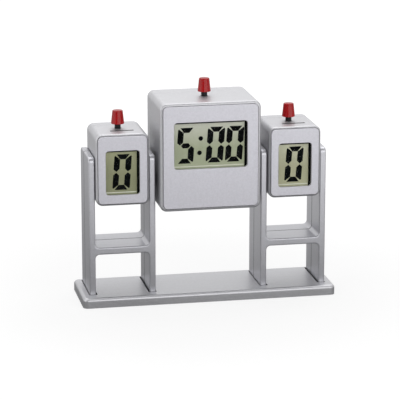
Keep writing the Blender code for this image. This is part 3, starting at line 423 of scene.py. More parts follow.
print("primitives are placed in millimetres")

# %% [markdown]
# Edges and faces are picked in code by where they lie. A test looks at the two ends of an edge, or
# at the middle and the normal of a face, and says whether it is wanted.

# %% Pick edges and faces
NEAR = 0.01
STRAIGHT = 0.999
SQUARE_ON = 0.9


def along(axis):
    index = "XYZ".index(axis)
    return lambda a, b: abs((b - a)[index]) > STRAIGHT * (b - a).length


def at_level(axis, level):
    index = "XYZ".index(axis)
    return lambda a, b: abs(a[index] - level) < NEAR and abs(b[index] - level) < NEAR


def facing(axis, way, level=None):
    """Picks the faces that look one way along an axis, at a level where one is given."""
    index = "XYZ".index(axis)
    return lambda middle, normal: (normal[index] * way > SQUARE_ON
                                   and (level is None or abs(middle[index] - level) < NEAR))


def enter_edit(piece, kind, action):
    make_active(piece)
    bpy.ops.object.mode_set(mode="EDIT")
    bpy.ops.mesh.select_mode(type=kind)
    bpy.ops.mesh.select_all(action=action)


def leave_edit():
    bpy.ops.object.mode_set(mode="OBJECT")


def pick(piece, edges=None, faces=None):
    """Selects the edges or faces that pass a test, and stays in edit mode."""
    enter_edit(piece, "EDGE" if edges else "FACE", "DESELECT")
    mesh = bmesh.from_edit_mesh(piece.data)
    found = 0
    for part in (mesh.edges if edges else mesh.faces):
        if edges:
            wanted = edges(*(vert.co / MM for vert in part.verts))
        else:
            wanted = faces(part.calc_center_median() / MM, part.normal)
        if wanted:
            part.select_set(True)
            found += 1
    bmesh.update_edit_mesh(piece.data)
    if not found:
        raise ValueError(f"nothing to pick on {piece.name}")


def shift(axis, length):
    return tuple(length * MM if letter == axis else 0.0 for letter in "XYZ")


def inset(thickness):
    bpy.ops.mesh.inset(thickness=thickness * MM, depth=0.0)


def extrude(axis, length):
    bpy.ops.mesh.extrude_region_move(TRANSFORM_OT_translate={"value": shift(axis, length)})


def step_faces(piece, test, axis, rings):
    """Insets the picked faces ring after ring, and moves what is inside each along an axis."""
    pick(piece, faces=test)
    for ring, lift in rings:
        inset(ring)
        bpy.ops.transform.translate(value=shift(axis, lift))
    leave_edit()


def bisect(axis, level, **settings):
    bpy.ops.mesh.select_all(action="SELECT")
    bpy.ops.mesh.bisect(plane_co=shift(axis, level),
                        plane_no=[float(letter == axis) for letter in "XYZ"], **settings)


def soften(piece, test, radius, steps):
    """Rounds the picked edges."""
    pick(piece, edges=test)
    bpy.ops.mesh.bevel(offset=radius * MM, offset_type="OFFSET", segments=steps, profile=0.5,
                       affect="EDGES", clamp_overlap=True)
    leave_edit()
    return piece


print("edges and faces are picked by place")

# %% [markdown]
# Holes and joins are booleans that are applied at once. Then the piece is finished: its flat faces
# are shaded flat and its rounds smooth, it goes on its body, and it hides the solid it stands for.

# %% Cut, weld and finish
SMOOTH_BELOW = math.radians(32)


def combine(piece, other, operation):
    make_active(piece)
    change = piece.modifiers.new(operation.lower(), "BOOLEAN")
    change.operation = operation
    change.solver = "EXACT"
    change.object = other
    bpy.ops.object.modifier_apply(modifier=change.name)
    bpy.data.objects.remove(other, do_unlink=True)


def cut(piece, cutter):
    combine(piece, cutter, "DIFFERENCE")


def weld(piece, addition):
    combine(piece, addition, "UNION")


def bore(piece, *drum):
    """Cuts a round hole; drum is what add_drum takes after the name."""
    cut(piece, add_drum("hole", *drum))


def boss(piece, *drum):
    weld(piece, add_drum("boss", *drum))


def finish_piece(piece, material, nodes, body="stand"):
    make_active(piece)
    piece.data.materials.clear()
    piece.data.materials.append(material)
    bpy.ops.object.shade_smooth_by_angle(angle=SMOOTH_BELOW)
    even = piece.modifiers.new("even shading", "WEIGHTED_NORMAL")
    even.keep_sharp = True
    bpy.ops.object.modifier_apply(modifier=even.name)
    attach(piece, body)
    if nodes:
        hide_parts(*nodes)
    return piece


def paint_faces(piece, inside, material=JOINT_AND_SHADE_DARK):
    """Gives the dark finish, painted shade and dark joints, or another finish, to the faces whose middle
    passes the test.
    """
    piece.data.materials.append(material)
    for face in piece.data.polygons:
        if inside(face.center / MM, face.normal):
            face.material_index = len(piece.data.materials) - 1


def report(piece):
    print(piece.name, [round(value / MM, 2) for value in piece.dimensions],
          len(piece.data.polygons), "faces")


print("boolean and finishing helpers ready")

# %% [markdown]
# ## Where everything sits
# The places come from the measured solids. A module is the clock or a counter, with its housing, plate,
# window, button and battery. The three share one design, so each kind of piece has one function, which
# runs for every module.

# %% The three modules
WALL = 1.8
GAP = 0.3
LAP = 0.5  # how deep a welded shape reaches into its neighbour
PAST = 5.0  # how far a cutter reaches past a surface
HOUSING_CORNER = 4.0
SEAM_LIP = 1.5
PLATE_PROUD = 0.8
TOWER_SEAM = 3.3
DOOR_THICKNESS = 1.4
SCREW_ASIDE = 4.0
SCREW_BELOW = 3.7


def span(node):
    """Lowest and highest corner of a measured solid, in millimetres."""
    low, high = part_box(node)
    return Vector(low) / MM, Vector(high) / MM


class Module:
    """Places of one module in millimetres, read from its solids."""

    def __init__(self, name, peg_z, screw_sides):
        self.name = name
        self.is_clock = name == "clock"
        low, high = self.span("rear_shell")
        self.left, self.right, self.bottom, self.top = low.x, high.x, low.z, high.z
        self.middle = (low.x + high.x) / 2
        self.back = high.y
        self.seam = low.y + SEAM_LIP
        self.front = self.low("face_plate").y + PLATE_PROUD
        self.floor = self.low("lens").y + WALL
        self.button_y = (self.low("button_cap").y + self.high("button_cap").y) / 2
        self.button = (self.middle, self.button_y)
        self.cell_z = (self.low("battery").z + self.high("battery").z) / 2
        self.door_front = self.high("battery_door").y - DOOR_THICKNESS
        self.peg_z = peg_z
        self.screws = [(self.middle + side * (self.right - self.middle - SCREW_ASIDE),
                        self.top - SCREW_BELOW) for side in screw_sides]

    def span(self, part):
        return span(f"{self.name}_{part}")

    def low(self, part):
        return self.span(part)[0]

    def high(self, part):
        return self.span(part)[1]

    def view(self, part="rear_shell", margin=0.0):
        """Left, right, bottom and top of a part seen from the front, grown by a margin."""
        low, high = self.span(part)
        return (low.x - margin, high.x + margin, low.z - margin, high.z + margin)


CLOCK = Module("clock", 69.7, (-1, 1))
LEFT_COUNTER = Module("left_counter", 79.9, (1,))
RIGHT_COUNTER = Module("right_counter", 79.9, (1,))
MODULES = (CLOCK, LEFT_COUNTER, RIGHT_COUNTER)
for module in MODULES:
    print(module.name, [round(value, 2) for value in (*module.view(), module.front, module.back)])


def make_all(*makers):
    """Makes each kind of piece for the clock and for both counters."""
    for m in MODULES:
        for make in makers:
            report(make(m))


def slab(name, outline, front, back, corner=0.0, steps=8):
    """A block from left, right, bottom, top and two depths, with rounded corners seen from the front."""
    left, right, bottom, top = outline
    block = add_block(name, (left, front, bottom), (right, back, top))
    if corner:
        soften(block, along("Y"), corner, steps)
    return block


# %% [markdown]
# ## Housing fronts
# The front of each housing is a moulded cup with a thin wall. It starts as a block. The corners and the
# front edge are bevelled, and the back face is inset and pushed in twice, which leaves the wall and the
# step that the rear half's lip sits in.

# %% Hollow cup
FRONT_EDGE = 1.5
LIP_STEP = 0.9
SEAM_CHAMFER = 0.08


def cup_front(m):
    shell = slab(f"{m.name}_housing_front", m.view(), m.front, m.seam, HOUSING_CORNER)
    soften(shell, at_level("Y", m.seam), SEAM_CHAMFER, 1)
    soften(shell, at_level("Y", m.front), FRONT_EDGE, 5)
    step = SEAM_LIP + GAP
    pick(shell, faces=facing("Y", 1, m.seam))
    inset(WALL - LIP_STEP - SEAM_CHAMFER)
    extrude("Y", -step)
    inset(LIP_STEP)
    extrude("Y", step - (m.seam - m.floor))
    leave_edit()
    return shell


# %% [markdown]
# The plate lies in a shallow recess, with a thin gap all round that reads as a dark line. Behind it
# are the opening for the display, the hole for the button's stem and, in the counters, a slot for
# a card. Pegs on the sides hold the module between the halves of the towers.

# %% Openings and pegs
STEM_RADIUS = 1.8
PLATE_CORNER = 2.6
OPENING_CORNER = 0.9
SLOT_MOUTH = 0.4
CARD_SLOT = {"length": 13.0, "width": 1.0, "aside": 1.2, "depth": 6.0, "wall": 0.6}
PEG_RADIUS = 1.5
PEG_REACH = 1.55
COLLAR_RADIUS = 3.5
CLOCK_SIDE_GAP = 1.65


def open_front(shell, m):
    cut(shell, slab("recess", m.view("face_plate", GAP), m.front - PAST, m.low("lens").y,
                    PLATE_CORNER + GAP))
    cut(shell, slab("opening", m.view("lens", GAP), m.front - PAST, m.floor + 2, OPENING_CORNER, 4))
    if not m.is_clock:
        add_card_pocket(shell, m)
    bore(shell, m.button, "Z", STEM_RADIUS + GAP, m.top - WALL - 1, m.top + PAST)


def add_card_pocket(shell, m):
    wall = CARD_SLOT["wall"]
    left = m.middle + CARD_SLOT["aside"] - CARD_SLOT["length"] / 2
    front = m.high("circuit_board").y + 2 * wall
    low = Vector((left, front, m.top - WALL - CARD_SLOT["depth"]))
    high = Vector((left + CARD_SLOT["length"], front + CARD_SLOT["width"], m.top + PAST))
    weld(shell, add_block("pocket", low - Vector((wall, wall, wall)),
                          (high.x + wall, high.y + wall, m.top - WALL + LAP)))
    cut(shell, add_block("slot", low, high))
    cut(shell, add_block("mouth", (low.x - SLOT_MOUTH, low.y - SLOT_MOUTH, m.top - SLOT_MOUTH),
                         (high.x + SLOT_MOUTH, high.y + SLOT_MOUTH, high.z)))


def add_pegs(shell, m):
    gap = CLOCK_SIDE_GAP if m.is_clock else GAP
    place = (TOWER_SEAM, m.peg_z)
    for wall, outward in ((m.left, -1), (m.right, 1)):
        root = wall - outward * LAP
        boss(shell, place, "X", PEG_RADIUS, root, wall + outward * (gap + PEG_REACH), 32)
        if m.is_clock:
            boss(shell, place, "X", COLLAR_RADIUS, root, wall + outward * (gap - GAP))


# %% [markdown]
# Inside, two ledges carry the circuit board. A shelf between two ribs holds the switch under the
# button, and posts take the screws from behind.

# %% Inside of the front
LEDGE = 1.6
SHELF_HALF, RIB_INSIDE, SHELF_DEEP, SHELF_THICK = 4.5, 3.3, 2.6, 1.2
POST_RADIUS = 2.7
BORE_RADIUS = 1.2
BORE_DEPTH = 7.3


def add_inner_ribs(shell, m):
    for wall, inward in ((m.left + WALL, 1), (m.right - WALL, -1)):
        weld(shell, add_block("ledge", (wall - inward * LAP, m.floor - LAP, m.low("lens").z),
                              (wall + inward * LEDGE, m.low("circuit_board").y - GAP,
                               m.high("lens").z - 1.0)))
    shelf_top = m.low("switch").z - GAP
    front, back = m.button_y - SHELF_DEEP, m.button_y + SHELF_DEEP
    weld(shell, add_block("shelf", (m.middle - SHELF_HALF, front, shelf_top - SHELF_THICK),
                          (m.middle + SHELF_HALF, back, shelf_top)))
    for side in (-1, 1):
        weld(shell, add_block("rib", (m.middle + side * SHELF_HALF, front, shelf_top - SHELF_THICK / 2),
                              (m.middle + side * RIB_INSIDE, back, m.top - WALL + LAP)))
    post_end = m.seam - SEAM_LIP - GAP
    for place in m.screws:
        boss(shell, place, "Y", POST_RADIUS, m.floor - LAP, post_end, 24)
        bore(shell, place, "Y", BORE_RADIUS, post_end - BORE_DEPTH, m.seam + PAST, 20)


# %% [markdown]
# The groove round the plate, the card slot, the stem's hole and the inside of the housing get a dark finish,
# a painted shade for the shade that falls in these gaps and hollows.

# %% Make the housing fronts
BACK_EDGE = 2.8
# How far in from an outer surface the painted shade starts.
SHADE_MARGIN = 0.1
TILT_LIMIT = 0.7


# Picks the faces that get painted shade: those that face into the housing, and those in the holes of its top
# wall.
def inside_housing(m):
    centre = Vector((m.middle, (m.front + m.back) / 2, (m.bottom + m.top) / 2))

    def test(middle, normal):
        faces_in = (centre - middle).dot(normal) > 0 and abs(normal.y) < TILT_LIMIT
        in_hole = (m.top - WALL - LAP < middle.z < m.top - SHADE_MARGIN
                   and m.left + SHELF_HALF < middle.x < m.right - SHELF_HALF
                   and m.front + FRONT_EDGE < middle.y < m.back - BACK_EDGE)
        between = m.front + SHADE_MARGIN < middle.y < m.back - 2 * SHADE_MARGIN
        return between and (faces_in or in_hole)
    return test


def make_front(m):
    shell = cup_front(m)
    for add_details in (add_inner_ribs, add_pegs, open_front):
        add_details(shell, m)
    finish_piece(shell, HOUSING_SILVER, [f"{m.name}_front_shell"])
    paint_faces(shell, inside_housing(m))
    return shell


make_all(make_front)

# %% [markdown]
# ## Housing backs
# The rear half closes the housing. Its back edge has a larger round, and it carries the battery
# pocket with a recess for the door, screw holes in the upper corners and, in the clock, three slots
# that let the buzzer be heard. A lip on its front edge goes inside the front half.

# %% Rear halves
POCKET = {"size": 12.2, "under cell": 0.9, "floor": 1.0, "corner": 0.5}
TAIL_HOLE = {"width": 1.2, "half height": 2.3}
DOOR = 15.2
DOOR_WALL = 1.2
DOOR_CORNER = 1.5
HEAD_HOLE, HEAD_SEAT, BOSS_START = 2.0, 0.2, 1.3
BUZZER_RING, BUZZER_SEAT, RING_HEIGHT = 7.5, 6.3, 1.5
SOUND_SLOT = {"length": 7.0, "width": 1.2, "pitch": 2.6, "corner": 0.55}


def square(m, size):
    """Left, right, bottom and top of a square round the battery."""
    return (m.middle - size / 2, m.middle + size / 2, m.cell_z - size / 2, m.cell_z + size / 2)


def cup_rear(m):
    front = m.seam + GAP
    shell = slab(f"{m.name}_housing_rear", m.view(), front, m.back, HOUSING_CORNER)
    soften(shell, at_level("Y", m.back), BACK_EDGE, 7)
    soften(shell, at_level("Y", front), SEAM_CHAMFER, 1)
    weld(shell, slab("lip", m.view(margin=-(WALL - LIP_STEP + GAP)), m.seam - SEAM_LIP, front + LAP,
                     HOUSING_CORNER - WALL + LIP_STEP - GAP))
    cut(shell, slab("room", m.view(margin=-WALL), m.seam - PAST, m.back - WALL, HOUSING_CORNER - WALL))
    return shell


def add_battery_pocket(shell, m):
    floor = m.low("battery").y - POCKET["under cell"]
    weld(shell, slab("block", square(m, DOOR + 2 * GAP + 2 * DOOR_WALL), floor - POCKET["floor"],
                     m.back - WALL + LAP, DOOR_CORNER, 4))
    cut(shell, slab("door recess", square(m, DOOR + 2 * GAP), m.door_front - GAP, m.back + PAST,
                    DOOR_CORNER + GAP))
    cut(shell, slab("cell pocket", square(m, POCKET["size"]), floor, m.back + PAST, POCKET["corner"], 3))
    right, tall = m.middle + POCKET["size"] / 2 - GAP, TAIL_HOLE["half height"]
    cut(shell, slab("tail hole", (right - TAIL_HOLE["width"], right, m.cell_z - tall, m.cell_z + tall),
                    m.low("battery_contact").y - 2, floor + GAP))


def add_screw_holes(shell, m):
    for place in m.screws:
        boss(shell, place, "Y", POST_RADIUS, m.seam - BOSS_START, m.back - WALL + LAP, 32)
        bore(shell, place, "Y", HEAD_HOLE, m.seam + HEAD_SEAT, m.back + PAST, 40)
        bore(shell, place, "Y", BORE_RADIUS, m.seam - PAST, m.back + PAST, 24)


def add_sound_slots(shell, m):
    inner = m.back - WALL
    z = (m.low("buzzer").z + m.high("buzzer").z) / 2
    boss(shell, (m.middle, z), "Y", BUZZER_RING, inner - RING_HEIGHT, inner + LAP)
    bore(shell, (m.middle, z), "Y", BUZZER_SEAT, inner - PAST, inner + GAP)
    wide, tall = SOUND_SLOT["length"] / 2, SOUND_SLOT["width"] / 2
    for step in (-1, 0, 1):
        at = z + step * SOUND_SLOT["pitch"]
        cut(shell, slab("slot", (m.middle - wide, m.middle + wide, at - tall, at + tall),
                        inner - PAST, m.back + PAST, SOUND_SLOT["corner"], 4))


def make_rear(m):
    shell = cup_rear(m)
    add_battery_pocket(shell, m)
    add_screw_holes(shell, m)
    if m.is_clock:
        add_sound_slots(shell, m)
    finish_piece(shell, HOUSING_SILVER, [f"{m.name}_rear_shell"])
    paint_faces(shell, inside_housing(m))
    return shell


make_all(make_rear)

# %% [markdown]
# ## Face plates
# The plate is a separate flat part. Its outer edge and the edge of its window each have a tiny
# round, which gives the bright line that the eye reads as a crisp, moulded edge.

# %% Face plates with windows
WINDOW_CORNER = 1.8
DISPLAY_LAP = 1.6
PLATE_ROUND, WINDOW_ROUND = 0.4, 0.3


def make_plate(m):
    low, high = m.span("face_plate")
    plate = slab(f"{m.name}_face", m.view("face_plate"), low.y, high.y, PLATE_CORNER)
    soften(plate, at_level("Y", low.y), PLATE_ROUND, 4)
    window = m.view("lens", -DISPLAY_LAP)
    cut(plate, slab("window", window, low.y - PAST, high.y + PAST, WINDOW_CORNER))

    def window_rim(a, b):
        inside = all(window[0] - NEAR < point.x < window[1] + NEAR
                     and window[2] - NEAR < point.z < window[3] + NEAR for point in (a, b))
        return inside and at_level("Y", low.y)(a, b)
    soften(plate, window_rim, WINDOW_ROUND, 3)
    return finish_piece(plate, FACE_SILVER, [f"{m.name}_face_plate"])


make_all(make_plate)

# %% [markdown]
# ## Windows and displays
# The clear window is a sheet with polished edges. The display behind it is a sandwich: a front glass,
# and a slightly larger rear glass whose free edge carries the contacts.

# %% Windows and display glass
SHEET_CORNER, SHEET_ROUND, GLASS_ROUND = 0.6, 0.15, 0.1
CONTACT_LEDGE = {"height": 1.2, "front glass": 0.9}


def make_window(m):
    low, high = m.span("lens")
    sheet = slab(f"{m.name}_window", m.view("lens"), low.y, high.y, SHEET_CORNER, 4)
    soften(sheet, at_level("Y", low.y), SHEET_ROUND, 2)
    return finish_piece(sheet, CLEAR_WINDOW, [f"{m.name}_lens"])


def make_display(m):
    low, high = m.span("lcd")
    glass = slab(f"{m.name}_display", m.view("lcd"), low.y, high.y)
    soften(glass, along("X"), GLASS_ROUND, 2)
    ledge = (low.x - 1, high.x + 1, low.z - 1, low.z + CONTACT_LEDGE["height"])
    cut(glass, slab("ledge", ledge, low.y - 1, low.y + CONTACT_LEDGE["front glass"]))
    return finish_piece(glass, DISPLAYS[m.name], [f"{m.name}_lcd"])


make_all(make_window, make_display)

# %% [markdown]
# ## Digits
# A digit is made of seven dark bars with pointed or mitred ends, leaning a little to the right. The
# bars of a zero and of a five are laid out in a box of their own, with a chamfer at the outer corners
# and a thin gap where two bars meet. Each bar starts as a disc with as many corners as the bar has,
# and each corner is then moved to its place.

# %% Outline of the bars
DIGIT_WIDTH = 10.2
DIGIT_HEIGHT = 21.1
BAR_UPRIGHT = 3.45
BAR_LEVEL = 2.95
CHAMFER = 1.2
MITRE_GAP = 0.11
MIDDLE_GAP = 0.25
LEAN = math.tan(math.radians(4.2))
FILM = 0.02


def digit_bars():
    """The bars by their usual letters, as points from the digit's middle, right and up."""
    w, h, u, v, c, s = (DIGIT_WIDTH / 2, DIGIT_HEIGHT / 2, BAR_UPRIGHT, BAR_LEVEL, CHAMFER, MITRE_GAP)
    top = [(-w + c + s, h), (w - c - s, h), (w - u - s, h - v), (-w + u + s, h - v)]
    near_top = [(-w, h - c - s), (-w + (c - s) / 2, h - (c + s) / 2 - s), (-w + u, h - v - s),
                (-w + u, MIDDLE_GAP + 0.5 * u), (-w + 0.5 * u, MIDDLE_GAP), (-w, MIDDLE_GAP + 0.42 * u)]
    middle = [(-w + 0.65 * u + s, 0), (-w + u + s, v / 2), (w - u - s, v / 2),
              (w - 0.65 * u - s, 0), (w - u - s, -v / 2), (-w + u + s, -v / 2)]
    across = [(-x, z) for x, z in near_top]
    return {"a": top, "b": across, "c": [(x, -z) for x, z in across], "d": [(x, -z) for x, z in top],
            "f": near_top, "e": [(x, -z) for x, z in near_top], "g": middle}


def add_bar(points):
    """A flat bar in the X-Z plane at y 0, made from a disc whose corners are moved."""
    start_piece()
    bpy.ops.mesh.primitive_circle_add(vertices=len(points), radius=MM, fill_type="NGON", rotation=TURNS["Y"])
    bar = named("bar")
    enter_edit(bar, "VERT", "DESELECT")
    for index, (x, z) in enumerate(points):
        mesh = bmesh.from_edit_mesh(bar.data)
        mesh.verts.ensure_lookup_table()
        bpy.ops.mesh.select_all(action="DESELECT")
        corner = mesh.verts[index]
        corner.select_set(True)
        target = Vector((x + LEAN * z, 0.0, z)) * MM
        bmesh.update_edit_mesh(bar.data)
        bpy.ops.transform.translate(value=target - corner.co)
    bpy.ops.mesh.select_all(action="SELECT")
    extrude("Y", FILM)
    bpy.ops.mesh.select_all(action="SELECT")
    bpy.ops.mesh.normals_make_consistent(inside=False)
    leave_edit()
    return bar


def joined(name, parts):
    start_piece()
    for part in parts:
        part.select_set(True)
    bpy.context.view_layer.objects.active = parts[0]
    bpy.ops.object.join()
    parts[0].name = name
    return parts[0]


BARS = digit_bars()
ZERO = joined("zero", [add_bar(BARS[letter]) for letter in "abcdef"])
FIVE = joined("five", [add_bar(BARS[letter]) for letter in "afgcd"])
report(ZERO)
report(FIVE)

# %% [markdown]
# The zero is copied to its four places, each copy with its own mesh, and moved onto the display. The clock
# reads 5:00 and the counters 0. Dark strips on the display at the right and the top of the window are a
# painted shadow, where the window's edge shades the recessed display. A thin pale strip a little above the
# window's lower edge is a painted highlight, where the lower rim catches light from above.

# %% Set the digits on the displays
CLOCK_DIGITS = ((FIVE, -14.4), (ZERO, 3.1), (ZERO, 14.5))
CLOCK_DIGIT_Z = 94.25
COUNTER_DIGIT_Z = 79.4
COLON = ((-5.5, 98.2), (-6.25, 89.75))
COLON_RADIUS = 1.35
# Painted shadow: its width at the right and at the top of the window, and its start above the display's
# bottom.
SHADOW_RIGHT = 1.3
SHADOW_TOP = 1.2
SHADOW_START = 1.4
# Lower and upper edge of the pale strip, a painted highlight, above the window's lower edge.
HIGHLIGHT_LOW, HIGHLIGHT_HIGH = 0.6, 1.25


def add_painted_shadow(m, front):
    """Painted shadow strips at the right and the top of the window, and a pale strip of painted highlight
    above its lower edge.
    """
    window = m.view("lens", -DISPLAY_LAP)
    low, high = m.span("lcd")
    back = low.y - 0.5 * FILM
    right, top = window[1] - SHADOW_RIGHT, window[3] - SHADOW_TOP
    return [add_block("painted shadow", (right, front, low.z + SHADOW_START), (high.x, back, high.z)),
            add_block("painted shadow", (low.x, front, top), (right - GAP / 10, back, high.z)),
            add_block("painted highlight strip", (window[0] - GAP, front, window[2] + HIGHLIGHT_LOW),
                      (right - GAP, back, window[2] + HIGHLIGHT_HIGH))]


# Picks the faces of the pale strip, the painted highlight.
def on_painted_highlight(m):
    low = m.low("lens").z + DISPLAY_LAP
    right = m.high("lens").x - DISPLAY_LAP - SHADOW_RIGHT
    return lambda middle, normal: low < middle.z < low + HIGHLIGHT_HIGH + GAP and middle.x < right


def copy_digit(digit, x, front, z):
    copy = digit.copy()
    copy.data = digit.data.copy()
    bpy.context.scene.collection.objects.link(copy)
    make_active(copy)
    copy.location = Vector((x, front, z)) * MM
    bpy.ops.object.transform_apply(location=True)
    return copy


def make_digits(m):
    front = m.low("lcd").y - 1.5 * FILM
    if m.is_clock:
        marks = [copy_digit(digit, x, front, CLOCK_DIGIT_Z) for digit, x in CLOCK_DIGITS]
        marks += [add_drum("dot", place, "Y", COLON_RADIUS, front, front + FILM, 32) for place in COLON]
    else:
        marks = [copy_digit(ZERO, m.middle, front, COUNTER_DIGIT_Z)]
    # The digits are joined with the painted shadow strips and the pale painted highlight strip.
    digits = joined(f"{m.name}_digits", marks + add_painted_shadow(m, front))
    finish_piece(digits, SEGMENT_AND_SHADOW_BLACK, [])
    # The pale strip gets the painted highlight's finish.
    paint_faces(digits, on_painted_highlight(m), PAINTED_RIM_HIGHLIGHT)
    return digits


make_all(make_digits)
for digit in (ZERO, FIVE):
    bpy.data.objects.remove(digit, do_unlink=True)

# %% [markdown]
# ## Push buttons
# A cap is a short cone with a nearly flat top. Its edges are bevelled, the top is lifted a little in
# three rings, and the underside is inset and pushed up, which makes the bore that it sits on its stem
# with. A narrow white reflection down its side is what makes it look glossy.

# %% Caps
CAP_DOME = 0.2
CAP_RINGS = ((0.8, 0.08), (0.9, 0.07), (0.8, 0.05))
CAP_TOP_RADIUS = 3.05
CAP_BORE = 5.5
CAP_TOP_ROUND, SMALL_ROUND = 0.5, 0.3


def make_cap(m):
    low, high = m.span("button_cap")
    radius = (high.x - low.x) / 2
    flat_top = high.z - CAP_DOME
    cap = add_drum(f"{m.name}_cap", m.button, "Z", radius, low.z, flat_top, 64, CAP_TOP_RADIUS)
    step_faces(cap, facing("Z", 1), "Z", CAP_RINGS)
    soften(cap, at_level("Z", flat_top), CAP_TOP_ROUND, 5)
    pick(cap, faces=facing("Z", -1))
    inset(radius - STEM_RADIUS - GAP)
    extrude("Z", CAP_BORE)
    leave_edit()

    def outer_rim(a, b):
        wide = min(math.hypot(point.x - m.middle, point.y - m.button_y) for point in (a, b))
        return at_level("Z", low.z)(a, b) and wide > STEM_RADIUS + 1.0
    soften(cap, outer_rim, SMALL_ROUND, 3)
    return finish_piece(cap, BUTTON_RED, [f"{m.name}_button_cap"], f"{m.name}_button")


make_all(make_cap)

# %% [markdown]
# The stem is a rod with a collar under the top wall, which stops it. The collar is made by cutting
# two rings into the rod and moving the faces between them outwards.

# %% Stems
COLLAR_OUT = 0.8
COLLAR_TOP_UNDER_HOUSING = 2.1
COLLAR_THICKNESS = 1.0


def make_stem(m):
    low, high = m.span("button_stem")
    stem = add_drum(f"{m.name}_stem", m.button, "Z", STEM_RADIUS, low.z, high.z)
    collar_top = m.top - COLLAR_TOP_UNDER_HOUSING
    enter_edit(stem, "EDGE", "SELECT")
    for level in (collar_top, collar_top - COLLAR_THICKNESS):
        bisect("Z", level)
    leave_edit()
    pick(stem, faces=lambda middle, normal: abs(normal.z) < 0.1
         and collar_top - COLLAR_THICKNESS < middle.z < collar_top)
    bpy.ops.mesh.extrude_region_shrink_fatten(TRANSFORM_OT_shrink_fatten={"value": COLLAR_OUT * MM})
    leave_edit()
    soften(stem, at_level("Z", low.z), SMALL_ROUND, 3)
    return finish_piece(stem, STEM_BLACK, [f"{m.name}_button_stem"], f"{m.name}_button")


make_all(make_stem)

# %% [markdown]
# Under the collar a coil spring pushes the button up. A small ring of points is swept along a helix
# by the Screw modifier, and its two ends are closed.

# %% Springs
WIRE_RADIUS = 0.2
WIRE_SIDES = 10
COIL_TURNS = 4.5
COIL_STEPS = 28


def make_spring(m):
    low, high = m.span("button_spring")
    start_piece()
    bpy.ops.mesh.primitive_circle_add(vertices=WIRE_SIDES, radius=WIRE_RADIUS * MM, fill_type="NOTHING",
                                      location=shift("X", (high.x - low.x) / 2 - WIRE_RADIUS),
                                      rotation=TURNS["Y"])
    spring = named(f"{m.name}_spring")
    coil = spring.modifiers.new("coil", "SCREW")
    coil.angle = 2 * math.pi * COIL_TURNS
    coil.screw_offset = (high.z - low.z - 2 * WIRE_RADIUS) * MM
    coil.steps = coil.render_steps = int(COIL_STEPS * COIL_TURNS)
    coil.use_merge_vertices = False
    bpy.ops.object.modifier_apply(modifier=coil.name)
    enter_edit(spring, "EDGE", "DESELECT")
    bpy.ops.mesh.select_non_manifold(extend=False)
    bpy.ops.mesh.fill_holes(sides=WIRE_SIDES + 2)
    bpy.ops.mesh.select_all(action="SELECT")
    bpy.ops.mesh.normals_make_consistent(inside=False)
    leave_edit()
    spring.location = Vector((*m.button, low.z + WIRE_RADIUS)) * MM
    bpy.ops.object.transform_apply(location=True)
    finish_piece(spring, SCREW_STEEL, [f"{m.name}_button_spring"])
    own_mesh(spring)
    return spring


make_all(make_spring)

# %% [markdown]
# ## Batteries and their doors
# Each module runs on a button cell. The cell is a pressed steel can with a rounded edge, closed by
# a smaller cap. The door over it is flush with the back, with a finger grip and four lugs.

# %% Button cells
CAN_FRONT = 0.7
CAN_BACK = 0.1
CAN_ROUND = 0.5
CAN_RINGS = ((0.55, 0.0), (0.25, 0.25), (0.4, -0.95))
SIGN = {"half length": 1.5, "half width": 0.2, "depth": 0.15, "rise": 2.6}


def make_cell(m):
    low, high = m.span("battery")
    back = high.y - CAN_BACK
    cell = add_drum(f"{m.name}_cell", (m.middle, m.cell_z), "Y", (high.x - low.x) / 2,
                    low.y + CAN_FRONT, back, 64)
    step_faces(cell, facing("Y", -1), "Y", CAN_RINGS)
    soften(cell, at_level("Y", back), CAN_ROUND, 4)
    step_faces(cell, facing("Y", 1, back), "Y", ((0.7, CAN_BACK),))
    z, arms = m.cell_z + SIGN["rise"], (SIGN["half length"], SIGN["half width"])
    for wide, tall in (arms, arms[::-1]):
        cut(cell, add_block("sign", (m.middle - wide, high.y - SIGN["depth"], z - tall),
                            (m.middle + wide, high.y + 1, z + tall)))
    return finish_piece(cell, CELL_STEEL, [f"{m.name}_battery"])


make_all(make_cell)

# %% Battery doors
GRIP = {"width": 7.0, "height": 1.6, "depth": 0.6, "rise": 4.4, "corner": 0.75}
DOOR_ROUND = 0.2
LUG = 1.4


def make_door(m):
    door = slab(f"{m.name}_door", square(m, DOOR), m.door_front, m.back, DOOR_CORNER, 6)
    soften(door, at_level("Y", m.back), DOOR_ROUND, 2)
    reach = POCKET["size"] / 2 - GAP
    for side in (-1, 1):
        for level in (-1, 1):
            weld(door, add_block(
                "lug", (m.middle + side * reach, m.door_front - LUG, m.cell_z + level * reach),
                (m.middle + side * (reach - LUG), m.door_front + LAP, m.cell_z + level * (reach - LUG))))
    z = m.cell_z + GRIP["rise"]
    grip = (m.middle - GRIP["width"] / 2, m.middle + GRIP["width"] / 2,
            z - GRIP["height"] / 2, z + GRIP["height"] / 2)
    cut(door, slab("grip", grip, m.back - GRIP["depth"], m.back + PAST, GRIP["corner"], 5))
    return finish_piece(door, HOUSING_SILVER, [f"{m.name}_battery_door"],
                        f"{m.name}_door")


make_all(make_door)

# %% [markdown]
# ## Towers
# Each tower is moulded in two halves that meet in a seam down the uprights. A half starts as a block
# with rounded upper ends, and two windows are cut through it. All its edges get a small round, and
# the block is then split at the seam, so that the seam itself stays sharp.

# %% Tower halves
UPRIGHT = 3.7
CROSSBAR = (30.1, 34.3)
TOWER_END_ROUND = 3.0
WINDOW_FILLET = 2.4
TOWER_EDGE = 0.8
FAR_PAST = 20.0


